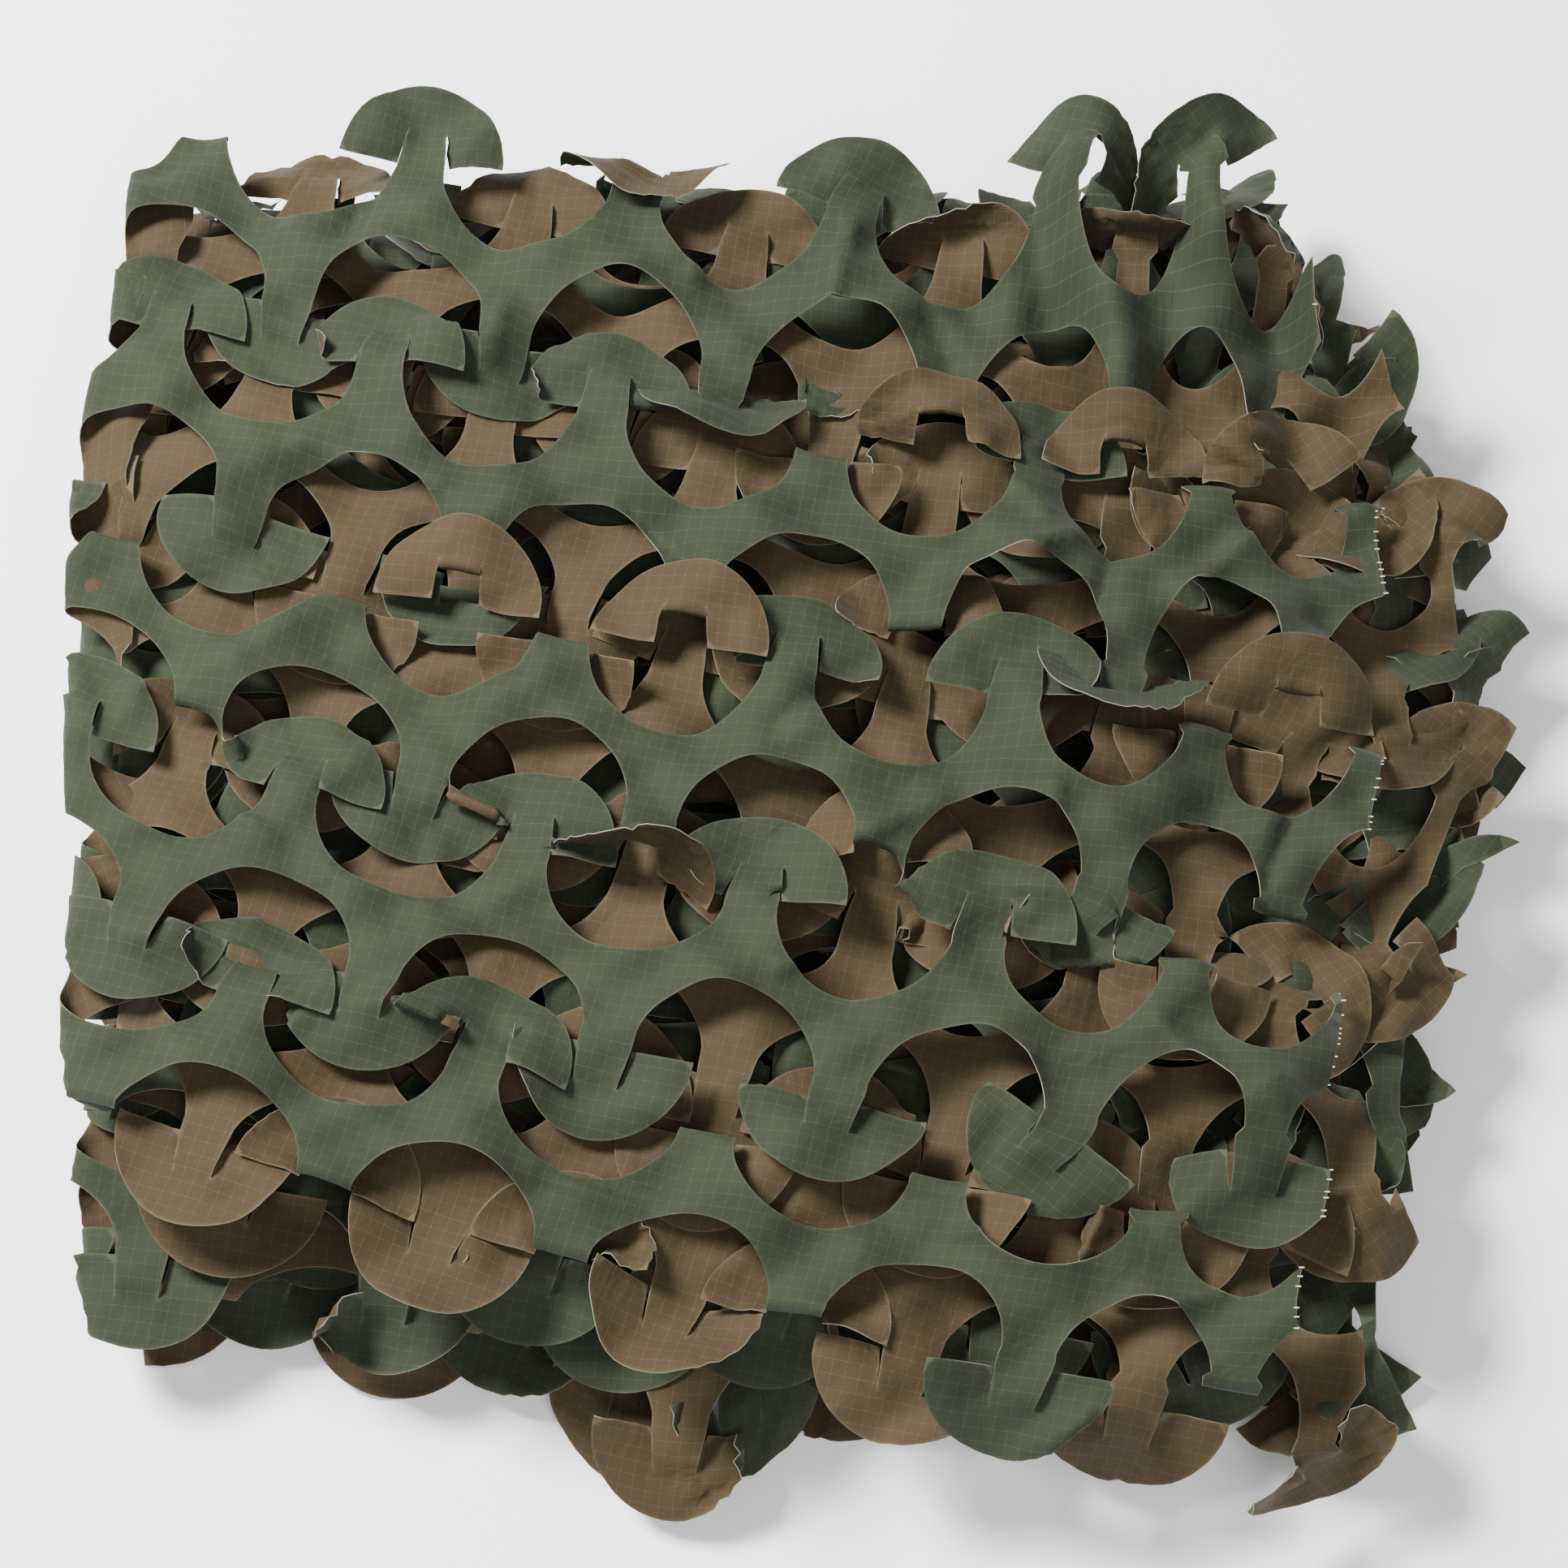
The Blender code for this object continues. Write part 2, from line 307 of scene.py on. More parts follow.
# ridges and valleys in the top webs, in millimetres: from x, y to x, y, height, half width
creases = (
    (-180, 214, -170, 235, -4, 7), (-115, 174, -124, 145, 3, 6), (-41, 191, -30, 216, 4, 7),
    (-192, 118, -139, 98, 3, 6), (-64, 90, -43, 67, -3, 6), (12, 174, 22, 211, 5, 8),
    (50, 178, 59, 154, -3, 6), (61, 52, 103, 73, 6, 9), (120, 71, 112, 44, -4, 7),
    (64, 14, 56, 32, 3, 6), (174, 75, 146, 52, 5, 8), (-172, -65, -135, -76, 3, 6),
    (-59, -151, -18, -154, 4, 7), (-184, -174, -170, -200, -3, 6), (-94, -174, -59, -187, 3, 6),
    (93, -33, 98, -69, 4, 7), (181, -41, 166, -76, -4, 7), (117, -226, 171, -213, 4, 7),
    (80, -134, 82, -168, 4, 7), (-7, -101, 27, -92, 3, 6), (-84, -48, -57, -57, -3, 6),
    (-218, -31, -193, -51, 3, 6), (-129, 35, -104, 21, -3, 6), (-8, -5, 23, 21, -4, 7),
    (-150, 150, -128, 172, 4, 7), (0, 118, 34, 124, 4, 7), (78, 104, 94, 86, 5, 7),
    (140, 22, 162, 6, 5, 7), (24, -52, 50, -36, 4, 6), (-150, -116, -116, -120, 4, 7),
    (58, -196, 94, -204, 5, 7), (128, -124, 150, -146, 4, 7), (-52, 140, -20, 134, -4, 7),
    (-214, 40, -186, 56, -4, 7),
)


def creaseHeight(x, y):
    # sum of height * (0.5 exp(-(d / width)^2) + 0.9 exp(-2 d / width)), d the distance to the ridge's line
    total = np.zeros_like(x)
    for x0, y0, x1, y1, tall, wide in (np.array(creases) / 1000.0).tolist():
        share = ((x - x0) * (x1 - x0) + (y - y0) * (y1 - y0)) / ((x1 - x0) ** 2 + (y1 - y0) ** 2)
        share = np.clip(share, 0.0, 1.0)
        away = np.hypot(x - x0 - share * (x1 - x0), y - y0 - share * (y1 - y0))
        total = total + tall * (0.5 * np.exp(-(away / wide) ** 2) + 0.9 * np.exp(-2.0 * away / wide))
    return total


def layerSurface(layer, x, y, rise, slip):
    # flat run, then a turn of the fold radius (end - (r + rise) sin a, z - r + (r + rise) cos a), then back
    left, _ = sideEnds(layer, y, slip)
    radius = stack["foldRadius"]
    px, py = x.copy(), y.copy()
    pz = layerHeight(layer, np.clip(x, left, 9.0), y) + rise
    if layer > 0 and layer % 2 == 0:
        past = left - x
        angle = np.clip(past / radius, 0.0, math.pi)
        over = np.maximum(past - math.pi * radius, 0.0)
        px = np.where(past > 0.0, left - ((radius + rise) * np.sin(angle) - over), px)
        under = pz - rise - radius + (radius + rise) * np.cos(angle) + stack["tuckSlope"] * over
        pz = np.where(past > 0.0, under, pz)
    share = loosen["share"] + loosen["perLength"] * layer
    looser = 1.0 + loosen["right"] * eased(x, *loosen["rightX"])
    for tall, turnsX, turnsY, phase in ripples:
        pz = pz + tall * wave(x, y, turnsX, turnsY, phase + loosen["phase"] * layer) * share * looser
    bx, by = x - stack["shift"][0], y - stack["shift"][1]
    lift = eased(by, lip["startY"], lip["endY"]) * eased(bx, lip["leftX"], lip["rightX"])
    if layer == topLayer - 1:
        pz = pz + lip["second"] * lip["height"] * lift
    if 0 < layer < 4:
        # the front of the low lengths is drawn out: reach * exp(-((x - middle) / width)^2)
        out = bunch["reach"][layer - 1] * np.exp(-((x - bunch["middle"]) / bunch["width"]) ** 2)
        py = py - out * eased(-y, *bunch["startY"])
    if layer == topLayer:
        pz = pz + lip["height"] * lift + loosen["crease"] * creaseHeight(x, y)
        pz = pz + lip["edgeHeight"] * eased(by, *lip["edgeY"])
        gathered = eased(by, *lip["gatherY"]) * eased(bx, *lip["gatherX"])
        fold = np.sin(2.0 * math.pi * bx / lip["gatherGap"] + lip["gatherSlant"] * by)
        pz = pz + lip["gatherHeight"] * gathered * fold
        py = py + lip["drift"] * lift
    over = np.clip(px - edges["rightX"], 0.0, edges["most"][1])
    pz = pz - edges["rightHang"] * edges["hang"] * over * over * eased(pz, 0.0, 0.03)
    for line, way in ((edges["frontY"], -1.0), (edges["backY"], 1.0)):
        over = np.clip(way * (py - line), 0.0, edges["most"][0])
        if way > 0 and layer == topLayer:
            over = over * edges["topBack"]
        drop = edges["hang"] * over * over
        py = py - way * edges["draw"] * over * over
        pz = pz - drop * eased(pz, 0.0, 0.03)    # cloth near the floor has no further to drop
    return np.stack([px, py, pz], axis=1)


def layOut(u, v, band, origin):
    # place = origin + u * along + v * across + band * pull + skew * c r + splay * r r + bow * c c, then the
    # whole length is turned about the middle of the stack by the angle in origin[2]
    row = -v / cutPattern["rowGap"]
    column = (u - cutPattern["rowShift"] * row) / cutPattern["halfStep"]
    out = []
    for i in range(2):
        place = origin[i] + u * layDown["along"][i] + v * layDown["across"][i]
        place = place + band * layDown["pullApart"][i]
        place = place + layDown["skew"][i] * column * row + layDown["splay"][i] * row * row
        out.append(place + layDown["bow"][i] * column * column)
    away = math.radians(origin[2])
    x, y = out[0] - layDown["middle"][0], out[1] - layDown["middle"][1]
    x, y = x * math.cos(away) - y * math.sin(away), x * math.sin(away) + y * math.cos(away)
    x, y = x + layDown["middle"][0], y + layDown["middle"][1]
    # the cloth is gathered past a line: x draws in by a share of the distance past it, and more at the back
    back = eased(y, *layDown["backY"])
    y = y - origin[3] * eased(y, *layDown["drawY"])
    x = x - layDown["gather"] * np.maximum(x - layDown["gatherFrom"], 0.0)
    x = x - layDown["backGather"] * back * np.maximum(x - layDown["backFrom"], 0.0)
    return x, y


# how each cap (row, column) of the top length lies: lift in degrees, where its stem bends (0 on the row line,
# 1 at the slit ends), curl per metre, way the curl runs in degrees, side curl per metre, twist in degrees;
# numbers left out at the end are 0
topCaps = {
    (-3, -4): (-165, 0), (-3, -2): (22, 1, -3), (-3, 0): (140, 1, 40, 10, 0, 8),
    (-3, 2): (24, 1, -20, 10, 0, 10), (-3, 4): (34, 1, -20, 60, 0, 30),
    (-3, 6): (46, 1, -12, -30, 0, -30), (-3, 8): (-165, 0), (-2, -5): (-20, 1),
    (-2, -4): (-5, 1, -3, 0, 2), (-2, -3): (-5, 1, -3), (-2, -2): (-7, 1, -3, 0, 2),
    (-2, -1): (-26, 0, 30, 10), (-2, 0): (-5, 1, -3, 0, 2), (-2, 1): (34, 1, -14, 30, 0, 10),
    (-2, 2): (-168, 0, 3), (-2, 3): (150, 1, 30, 30, 0, 8), (-2, 4): (-7, 1, -4, 0, 2),
    (-2, 5): (158, 1, 22, -25), (-2, 6): (-165, 0), (-2, 7): (146, 1, 18, 70, 0, 6), (-2, 8): (-165, 0),
    (-2, 9): (-165, 0), (-1, -5): (-30, 1), (-1, -4): (-170, 0), (-1, -3): (-4, 1, -3, 0, 2),
    (-1, -2): (-170, 0), (-1, -1): (168, 1, 3), (-1, 0): (-170, 0), (-1, 1): (168, 1, 6, 10, 0, -4),
    (-1, 2): (-6, 1, -3, 0, 2), (-1, 3): (-168, 0), (-1, 4): (-7, 1, -4, 0, 2),
    (-1, 5): (46, 1, -12, 0, 0, 4), (-1, 6): (-170, 0), (-1, 7): (163, 1, 8, -20), (-1, 8): (-165, 0),
    (0, -4): (-12, 1, -6), (0, -3): (-168, 0), (0, -2): (-5, 1, -4, 0, 2), (0, -1): (-3, 1, -2),
    (0, 0): (-3, 1, -2), (0, 1): (96, 1, -40, 40, 0, 60), (0, 2): (-8, 1, -4, 0, 2), (0, 3): (-170, 0),
    (0, 4): (-9, 1, -5, 0, 2), (0, 5): (-34, 1, -16, -40, 0, 34), (0, 6): (-170, 0), (0, 7): (-165, 0),
    (0, 8): (-165, 0), (1, -4): (-12, 1), (1, -3): (-3, 1, -2), (1, -2): (-24, 1, -9, 20, 3, -16),
    (1, -1): (-2, 1, -2), (1, 0): (-1, 1, -1), (1, 1): (-3, 1, -2), (1, 2): (-170, 0),
    (1, 3): (16, 1, -14, 35, 0, 22), (1, 4): (-170, 0), (1, 5): (-16, 1, -18, -30, 0, -46),
    (1, 6): (-170, 0), (1, 7): (-4, 1, -4, 0, 2), (1, 8): (-165, 0), (2, -3): (-168, 0),
    (2, -1): (-166, 0), (2, 1): (-166, 0), (2, 3): (-160, 0), (2, 5): (-16, 1, -12, 30, 0, 30),
    (2, 7): (-160, 0),
}
# the same for the brown length under it, whose caps show in the openings and along the front and back
secondCaps = {
    (-3, -4): (6, 1, -10), (-3, -2): (10, 1, -18), (-3, 0): (10, 1, -16, 10),
    (-3, 2): (60, 1, 26, -30, 0, -20), (-3, 4): (96, 1, -34, 60, 0, 36), (-3, 6): (84, 1, 28, 20, 0, -24),
    (-2, 4): (24, 1, 24, 20, 0, 14), (-2, 6): (20, 1, 16, -30, 0, 16), (-1, 6): (12, 1, -8),
    (0, 6): (14, 1, 10), (0, 5): (34, 1, -10), (1, 6): (8, 1, -6), (-2, 5): (30, 1, 34, 40, 16, 24),
    (-2, 7): (24, 1, 14, 30, 0, -10), (-1, 7): (18, 1, -10), (2, -3): (16, 1, -8, 0, 2),
    (2, -1): (12, 1, -5), (2, 1): (18, 1, 20, 80), (2, 3): (10, 1, -10, 20, 0, 6),
    (2, 5): (-24, 1, -16, 30, 0, 24), (2, 7): (-60, 1, 20, 0, 0, 20), (-1, -2): (168, 1, 3),
    (-1, 0): (8, 1, -10, 0, 3), (-2, 0): (6, 1, -8, 0, 2), (-2, -2): (3, 1, -8, 0, 2),
    (-1, 2): (4, 1, -8, 20, 2), (-1, -4): (-3, 1, -3),
}

# caps of the lower lengths that show at the front: (length, row, column), counted from 0 at the bottom
lowerCaps = {
    (6, 2, -3): (-165, 0), (6, 2, -1): (-165, 0), (6, 2, 1): (-12, 1, -6),
    (6, 2, 3): (-14, 1, -6, 0, 0, 6), (6, 2, 5): (-30, 1, 16), (6, 2, 7): (-40, 1, 10),
    (5, 2, -3): (-4, 1, -4, 0, 2), (5, 2, -1): (-6, 1, -6, 0, 2), (5, 2, 1): (-10, 1, 22, 70, 0, 30),
    (5, 2, 3): (-20, 1, -16, 0, 0, 10), (5, 2, 5): (-165, 0), (5, 2, 7): (-165, 0),
    (4, 2, -5): (-10, 1, -4, 0, 2), (4, 2, -3): (-12, 1, -6, 0, 2), (4, 2, -1): (-34, 1, 30, 30, 0, 40),
    (4, 2, 1): (-18, 1, -8, 0, 2), (4, 2, 3): (-20, 1, 22, 30, 0, 10), (3, 2, 1): (6, 1, 18, 60, 0, 20),
    (3, 2, 3): (-165, 0), (2, 2, 1): (-8, 1, 30, -50, 0, -30), (1, 2, 1): (-6, 1, 24, 40, 0, 24),
    (3, 2, -1): (-165, 0), (3, 2, -3): (-165, 0), (2, 2, -1): (-8, 1, 20, 40, 0, 16),
    (1, 2, -1): (-8, 1, -10, 20, 0, -10),
}


# folded corners: (length, row, column): (fold angle, way from the stem in degrees, distance out)
cornerFolds = {
    (8, -2, -2): (115, 205, 0.026), (8, -2, 0): (100, 200, 0.027), (8, -2, 4): (120, 190, 0.025),
    (8, -1, 2): (150, 195, 0.022), (8, -1, 4): (70, -10, 0.026), (8, 0, -2): (50, 190, 0.022),
    (8, 0, 2): (130, 200, 0.026), (8, 1, -2): (75, 205, 0.020), (8, 1, 6): (80, 195, 0.022),
    (8, 0, 5): (-150, 62, 0.012), (8, 1, 5): (-140, 110, 0.016), (8, 1, 3): (-140, 75, 0.018),
    (8, 2, 5): (-120, 40, 0.020),
}

# caps turned in the plane of the cloth, in degrees toward the right: (length, row, column)
swings = {(8, -3, 6): -34, (8, -3, 4): 26, (8, -3, 2): 12, (8, -2, 7): 16, (8, 1, 5): -26, (8, 0, 5): -24}


# how stems and caps bend: metres along the stem from the row line, and angles from which a cap counts as such
necks = {
    "rowLine": -0.007,            # bending at the row line starts here
    "gentle": -0.005,             # and here for a cap that lifts by less than this angle
    "gentleTo": math.radians(45),
    "roll": (-0.022, 0.016),      # tucked in along an edge, the whole neck rolls under: start and length
    "tucked": math.radians(-150),
    "standing": (math.radians(48), math.radians(140)),
    "half": (0.0175, 0.0125), "halfTo": -0.006,    # half width that bends, before and after this place
    "foldReach": 0.026,           # caps this near a left fold go round with it
    "dropLeft": 0.045, "dropRight": 0.050,         # tucked caps this near an end are left out
    "stemHalf": 0.0130,           # half width of the stem that goes with them
    "probe": 0.004,               # step by which the directions at a stem are read
    "cornerRadius": 0.0030,       # of a folded corner
    "twistOver": 0.03,            # the twist is reached this far out from the hinge
}


def hashNumber(a, b, c):
    # a repeatable number from 0 to 1 for each cap of each length
    return (math.sin(a * 127.1 + b * 311.7 + c * 74.7) * 43758.5453) % 1.0


def capState(layer, row, column):
    # lift, bend place, curl, curl direction, side curl and twist, in radians and per metre
    placed = {topLayer: topCaps, topLayer - 1: secondCaps}.get(layer, {}).get((row, column))
    placed = placed or lowerCaps.get((layer, row, column))
    if placed:
        lift, pivot, curl, way, sideCurl, twist = placed + (0,) * (6 - len(placed))
    else:
        one, two = hashNumber(layer, row, column), hashNumber(layer + 9.1, row + 3.3, column)
        three, four = hashNumber(layer + 4.7, column, row), hashNumber(column, layer, row + 7.9)
        lift, pivot = -28 + 40 * one, 1    # 1: bends where the slits end, 0: at the row line
        if layer == topLayer - 1:
            lift = -12 + 18 * one
        elif two > 0.84:
            lift, pivot = 155 + 17 * three, 1     # flipped over
        elif two > 0.60:
            lift, pivot = -160 - 15 * three, 0    # tucked in
        elif two > 0.48:
            lift, pivot = -70 + 140 * three, 0    # hanging or standing
        curl = -20 + 34 * three
        if column >= 6 and layer > 2:
            lift, pivot, curl = -24 + 64 * one, 1, -12 + 30 * two    # loose at the right
        elif layer in (1, 2) and row == 2:
            lift, pivot, curl = -6 - 12 * one, 1, -14 + 30 * three
        elif layer < 5 and row == 2 and one < 0.7:
            lift, pivot, curl = -165, 0, 0    # along the front most are tucked in
        elif layer < 7 and row < -2:
            lift, pivot, curl = -10 + 20 * one, 1, -10 + 20 * three    # along the back they lie nearly flat
        sideCurl = -9 + 18 * four
        way = -60 + 120 * one
        twist = -20 + 40 * four
    return math.radians(lift), pivot, float(curl), math.radians(way), float(sideCurl), math.radians(twist)


def cornerFold(layer, row, column):
    # a list of folds: angle, the direction it lies in from the stem, and how far out the fold line runs
    one, two = hashNumber(row, layer + 2.2, column), hashNumber(column + 5.5, row, layer + 1.3)
    onRight = two > 0.5
    turn = math.radians((-24.0 if onRight else 204.0) + 40.0 * (one - 0.5))
    wing = (math.radians(-55.0 + 95.0 * hashNumber(two, row, column)), turn, 0.013 + 0.006 * one)
    if (layer, row, column) in cornerFolds:
        angle, way, out = cornerFolds[(layer, row, column)]
        folds = [(math.radians(angle), math.radians(way), out)]
        return folds if abs(angle) > 90 else folds + [wing]
    if layer == topLayer:
        # a slight crease in one wing of each cap that lies nearly flat
        lift, _, curl = capState(layer, row, column)[:3]
        return [wing] if abs(curl) < 18.0 and lift < necks["standing"][0] else []
    if one > 0.55 or column >= 5 or (layer == topLayer - 1 and (row == 2 or one > 0.25)):
        return []
    way = (-20.0 if onRight else 200.0) + 60.0 * (one - 0.3) * (1.0 if onRight else -1.0)
    return [(math.radians(60.0 + 200.0 * one * two), math.radians(way), 0.012 + 0.014 * two)]


def stemLine(row, column, v):
    # band of web that holds the stem, the way it points and the distance along it
    up = 1.0 if column % 2 == 0 else -1.0
    return (row if up > 0 else row - 1), up, up * (v - rowLine(row, column)[1])


def foldCorners(folds, isHead, s, tau):
    # past each fold line the cap turns through the angle on a small radius, b = q / r up to the angle:
    # q -> r sin(b) + rest cos(angle) along and r (1 - cos(b)) + rest sin(angle) up
    radius = necks["cornerRadius"]
    turned = np.zeros_like(s)
    for angle, corner, out in folds:
        q = np.where(isHead, s * math.cos(corner) + tau * math.sin(corner) - out, 0.0)
        bent = np.clip(q / radius, 0.0, abs(angle))
        rest = np.maximum(q - radius * abs(angle), 0.0)
        moved = np.where(q > 0.0, radius * np.sin(bent) + rest * math.cos(angle) - q, 0.0)
        rise = np.where(q > 0.0, radius * (1.0 - np.cos(bent)) + rest * math.sin(abs(angle)), 0.0)
        turned = turned + math.copysign(1.0, angle) * rise
        s = s + moved * math.cos(corner)
        tau = tau + moved * math.sin(corner)
    return s, tau, turned


def bendCaps(cloth, layer, origin, slip):
    # stem: circular arc of the lift angle; cap: bent as a cylinder (sin(kw)/k, (1 - cos(kw))/k), twisted,
    # then tipped by the lift and set on the stem's end; the result is (x, y, height over the flat sheet)
    x, y = layOut(cloth["uv"][:, 0], cloth["uv"][:, 1], cloth["band"], origin)
    position = np.stack([x, y, 0.0 * x], axis=1)
    free = np.ones(len(x))    # 0 where a stem bends, so that nothing pushes there
    side = np.zeros(len(x))
    deep = cutPattern["slitDepth"]
    for row, column in cloth["capNames"]:
        lift, pivot, curl, way, sideCurl, twist = capState(layer, row, column)
        folds = cornerFold(layer, row, column)
        bend = cutPattern["bendLength"]
        start = deep - bend if pivot else necks["rowLine"]
        if pivot and abs(lift) < necks["gentleTo"]:
            start = necks["gentle"]
            bend = deep - start
        onEdge = row == 2 or (row == -3 and layer == topLayer - 1)
        if lift < necks["tucked"] and onEdge and layer < topLayer:
            start, bend = necks["roll"]
        end = start + bend
        u0, v0 = rowLine(row, column)
        band, up, t = stemLine(row, column, cloth["uv"][:, 1])
        s = cloth["uv"][:, 0] - u0
        head = (cloth["capRow"] == row) & (cloth["capColumn"] == column)
        stem = (cloth["band"] == band) & (t > start) & (t <= deep + 1e-5)
        stem &= np.abs(s) < np.where(t < necks["halfTo"], *necks["half"])
        stem &= ~head
        chosen = np.nonzero(head | stem)[0]
        if len(chosen) == 0:
            continue
        s, t = s[chosen], t[chosen]
        isHead = head[chosen]
        # the directions along and across the cap where the bending starts
        probe, v1 = necks["probe"], v0 + up * start
        du, dv = np.array([u0, u0 + probe, u0 - probe, u0]), np.array([v1, v1, v1, v0 + up * (start - probe)])
        px, py = layOut(du, dv, np.full(4, band), origin)
        spots = np.stack([px, py, 0.0 * px], axis=1)
        tucked = lift < necks["tucked"] or (row == -3 and abs(lift) > 1.0)
        foldEnd = sideEnds(layer, py[:1], slip)[0][0] + necks["foldReach"]
        if layer % 2 == 0 and px[0] < foldEnd and not tucked:
            lift, curl, sideCurl, twist, folds = 0.0, 0.0, 0.0, 0.0, []
        sideAxis = spots[1] - spots[2]
        sideAxis /= np.linalg.norm(sideAxis)
        along = spots[0] - spots[3]
        along /= np.linalg.norm(along)
        lift = lift if abs(lift) > 1e-3 else 1e-3
        curl = curl if abs(curl) > 0.01 else 0.01
        sFlat, tau, turned = foldCorners(folds, isHead, s, np.where(isHead, t - deep, 0.0))
        w = tau * math.cos(way) + sFlat * math.sin(way)
        c = -tau * math.sin(way) + sFlat * math.cos(way)
        w2 = np.sin(curl * w) / curl
        n2 = (1.0 - np.cos(curl * w)) / curl + 0.5 * sideCurl * c * c + turned
        tau2 = w2 * math.cos(way) - c * math.sin(way)
        s2 = w2 * math.sin(way) + c * math.cos(way)
        spin = twist * tau / necks["twistOver"]
        s3 = s2 * np.cos(spin) - n2 * np.sin(spin)
        n3 = s2 * np.sin(spin) + n2 * np.cos(spin)
        hingeA = bend * math.sin(lift) / lift
        hingeZ = bend * (1.0 - math.cos(lift)) / lift
        reach = np.where(isHead, deep - end + tau2, np.maximum(t - end, 0.0))
        proud = np.where(isHead, n3, 0.0)
        phase = lift * np.clip((t - start) / bend, 0.0, 1.0)
        inBend = (~isHead) & (t < end)
        a = hingeA + reach * math.cos(lift) - proud * math.sin(lift)
        a = np.where(inBend, bend / lift * np.sin(phase), a)
        z = hingeZ + reach * math.sin(lift) + proud * math.cos(lift)
        z = np.where(inBend, bend / lift * (1.0 - np.cos(phase)), z)
        sNow = np.where(isHead, s3, s)
        # swing in the plane of the cloth: (s cos w + a sin w, a cos w - s sin w), w growing along the stem
        swing = math.radians(swings.get((layer, row, column), 0.0))
        if column >= 6 and layer < topLayer:
            swing = math.radians(15.0 + 40.0 * hashNumber(layer + 1.9, column, row + 5.1))
        w = swing * np.where(isHead, 1.0, np.clip((t - start) / (deep - start), 0.0, 1.0))
        sNow, a = sNow * np.cos(w) + a * np.sin(w), a * np.cos(w) - sNow * np.sin(w)
        position[chosen] = spots[0] + sNow[:, None] * sideAxis + a[:, None] * along
        position[chosen, 2] = z
        # what each cap lies on: -1 under the web, 0 level, 1 over the caps in front, 2 over everything
        if abs(lift) > math.radians(60):
            side[chosen[isHead]] = 2.0 if lift > 0 else -1.0
        elif up > 0 or lift > 0:
            side[chosen[isHead]] = 1.0
        standing = necks["standing"][0] < abs(lift) < necks["standing"][1]    # standing caps keep clear
        loose = 0.0 if standing else 1.0
        free[chosen] = np.where(isHead, loose * eased(np.hypot(tau, 0.4 * s), 0.003, 0.012), 0.0)
    return position, side, free


# height maps of the cloth: cell size, lowest corner and count of cells
mapCell = 0.0030
mapLow = np.array([-0.36, -0.36])
mapShape = (240, 240)
drape = {
    "steps": 84,
    "settle": 8,          # last steps, in which only the cloth's own stiffness works
    "stretch": 0.9,       # how much of a stretched edge each step takes back
    "bend": 0.55,         # the same for the distance across an edge, which keeps folds and curls
    "memory": 0.90,       # share of the set curl that the cloth keeps
    "weight": 0.00004,    # metres that loose cloth sinks each step
    "webWeight": 0.2,     # share of that for the web
    "hold": 0.12,         # how firmly the web keeps to its place
    "holdEnds": 0.4,      # and how firmly past a fold or an end, from this far before it
    "endReach": 0.004,
    "openRoof": 0.9,      # height of an open place over the cloth, in layers above the length's own floor
    "gap": 0.0010,        # clear height kept between two lengths
    "push": 0.0005,       # most that a step moves cloth out of what it lies on
}


def shifted(grid, pick):
    # each cell takes the pick of itself and its eight neighbours
    out = grid
    for axis in (0, 1):
        out = pick(out, pick(np.roll(out, 1, axis), np.roll(out, -1, axis)))
    return out


def heightMap(points, empty, pick):
    # highest or lowest point in each cell, one cell wider all round; empty cells take the given heights
    i = np.clip(((points[:, :2] - mapLow) / mapCell).astype(int), 0, np.array(mapShape) - 1)
    grid = np.full(mapShape, -9.0 if pick is np.maximum else 9.0)
    pick.at(grid, (i[:, 0], i[:, 1]), points[:, 2])
    grid = shifted(grid, pick)
    return np.where(np.abs(grid) > 8.0, empty, grid)


def softMap(grid, times):
    # each pass takes half of a cell and a quarter of each neighbour, along x and then along y
    for _ in range(times):
        for axis in (0, 1):
            grid = 0.5 * grid + 0.25 * (np.roll(grid, 1, axis) + np.roll(grid, -1, axis))
    return grid


def readMap(grid, points):
    # height between four cells: a (1 - fx)(1 - fy) + b fx (1 - fy) + c (1 - fx) fy + d fx fy
    place = (points[:, :2] - mapLow) / mapCell - 0.5
    i = np.clip(np.floor(place).astype(int), 0, np.array(mapShape) - 2)
    f = np.clip(place - i, 0.0, 1.0)
    near = grid[i[:, 0], i[:, 1]] * (1.0 - f[:, 0]) + grid[i[:, 0] + 1, i[:, 1]] * f[:, 0]
    far = grid[i[:, 0], i[:, 1] + 1] * (1.0 - f[:, 0]) + grid[i[:, 0] + 1, i[:, 1] + 1] * f[:, 0]
    return near * (1.0 - f[:, 1]) + far * f[:, 1]


def spreadMove(count, index, move):
    # sum of the moves asked of each vertex
    return np.stack([np.bincount(index, weights=move[:, i], minlength=count) for i in range(3)], axis=1)


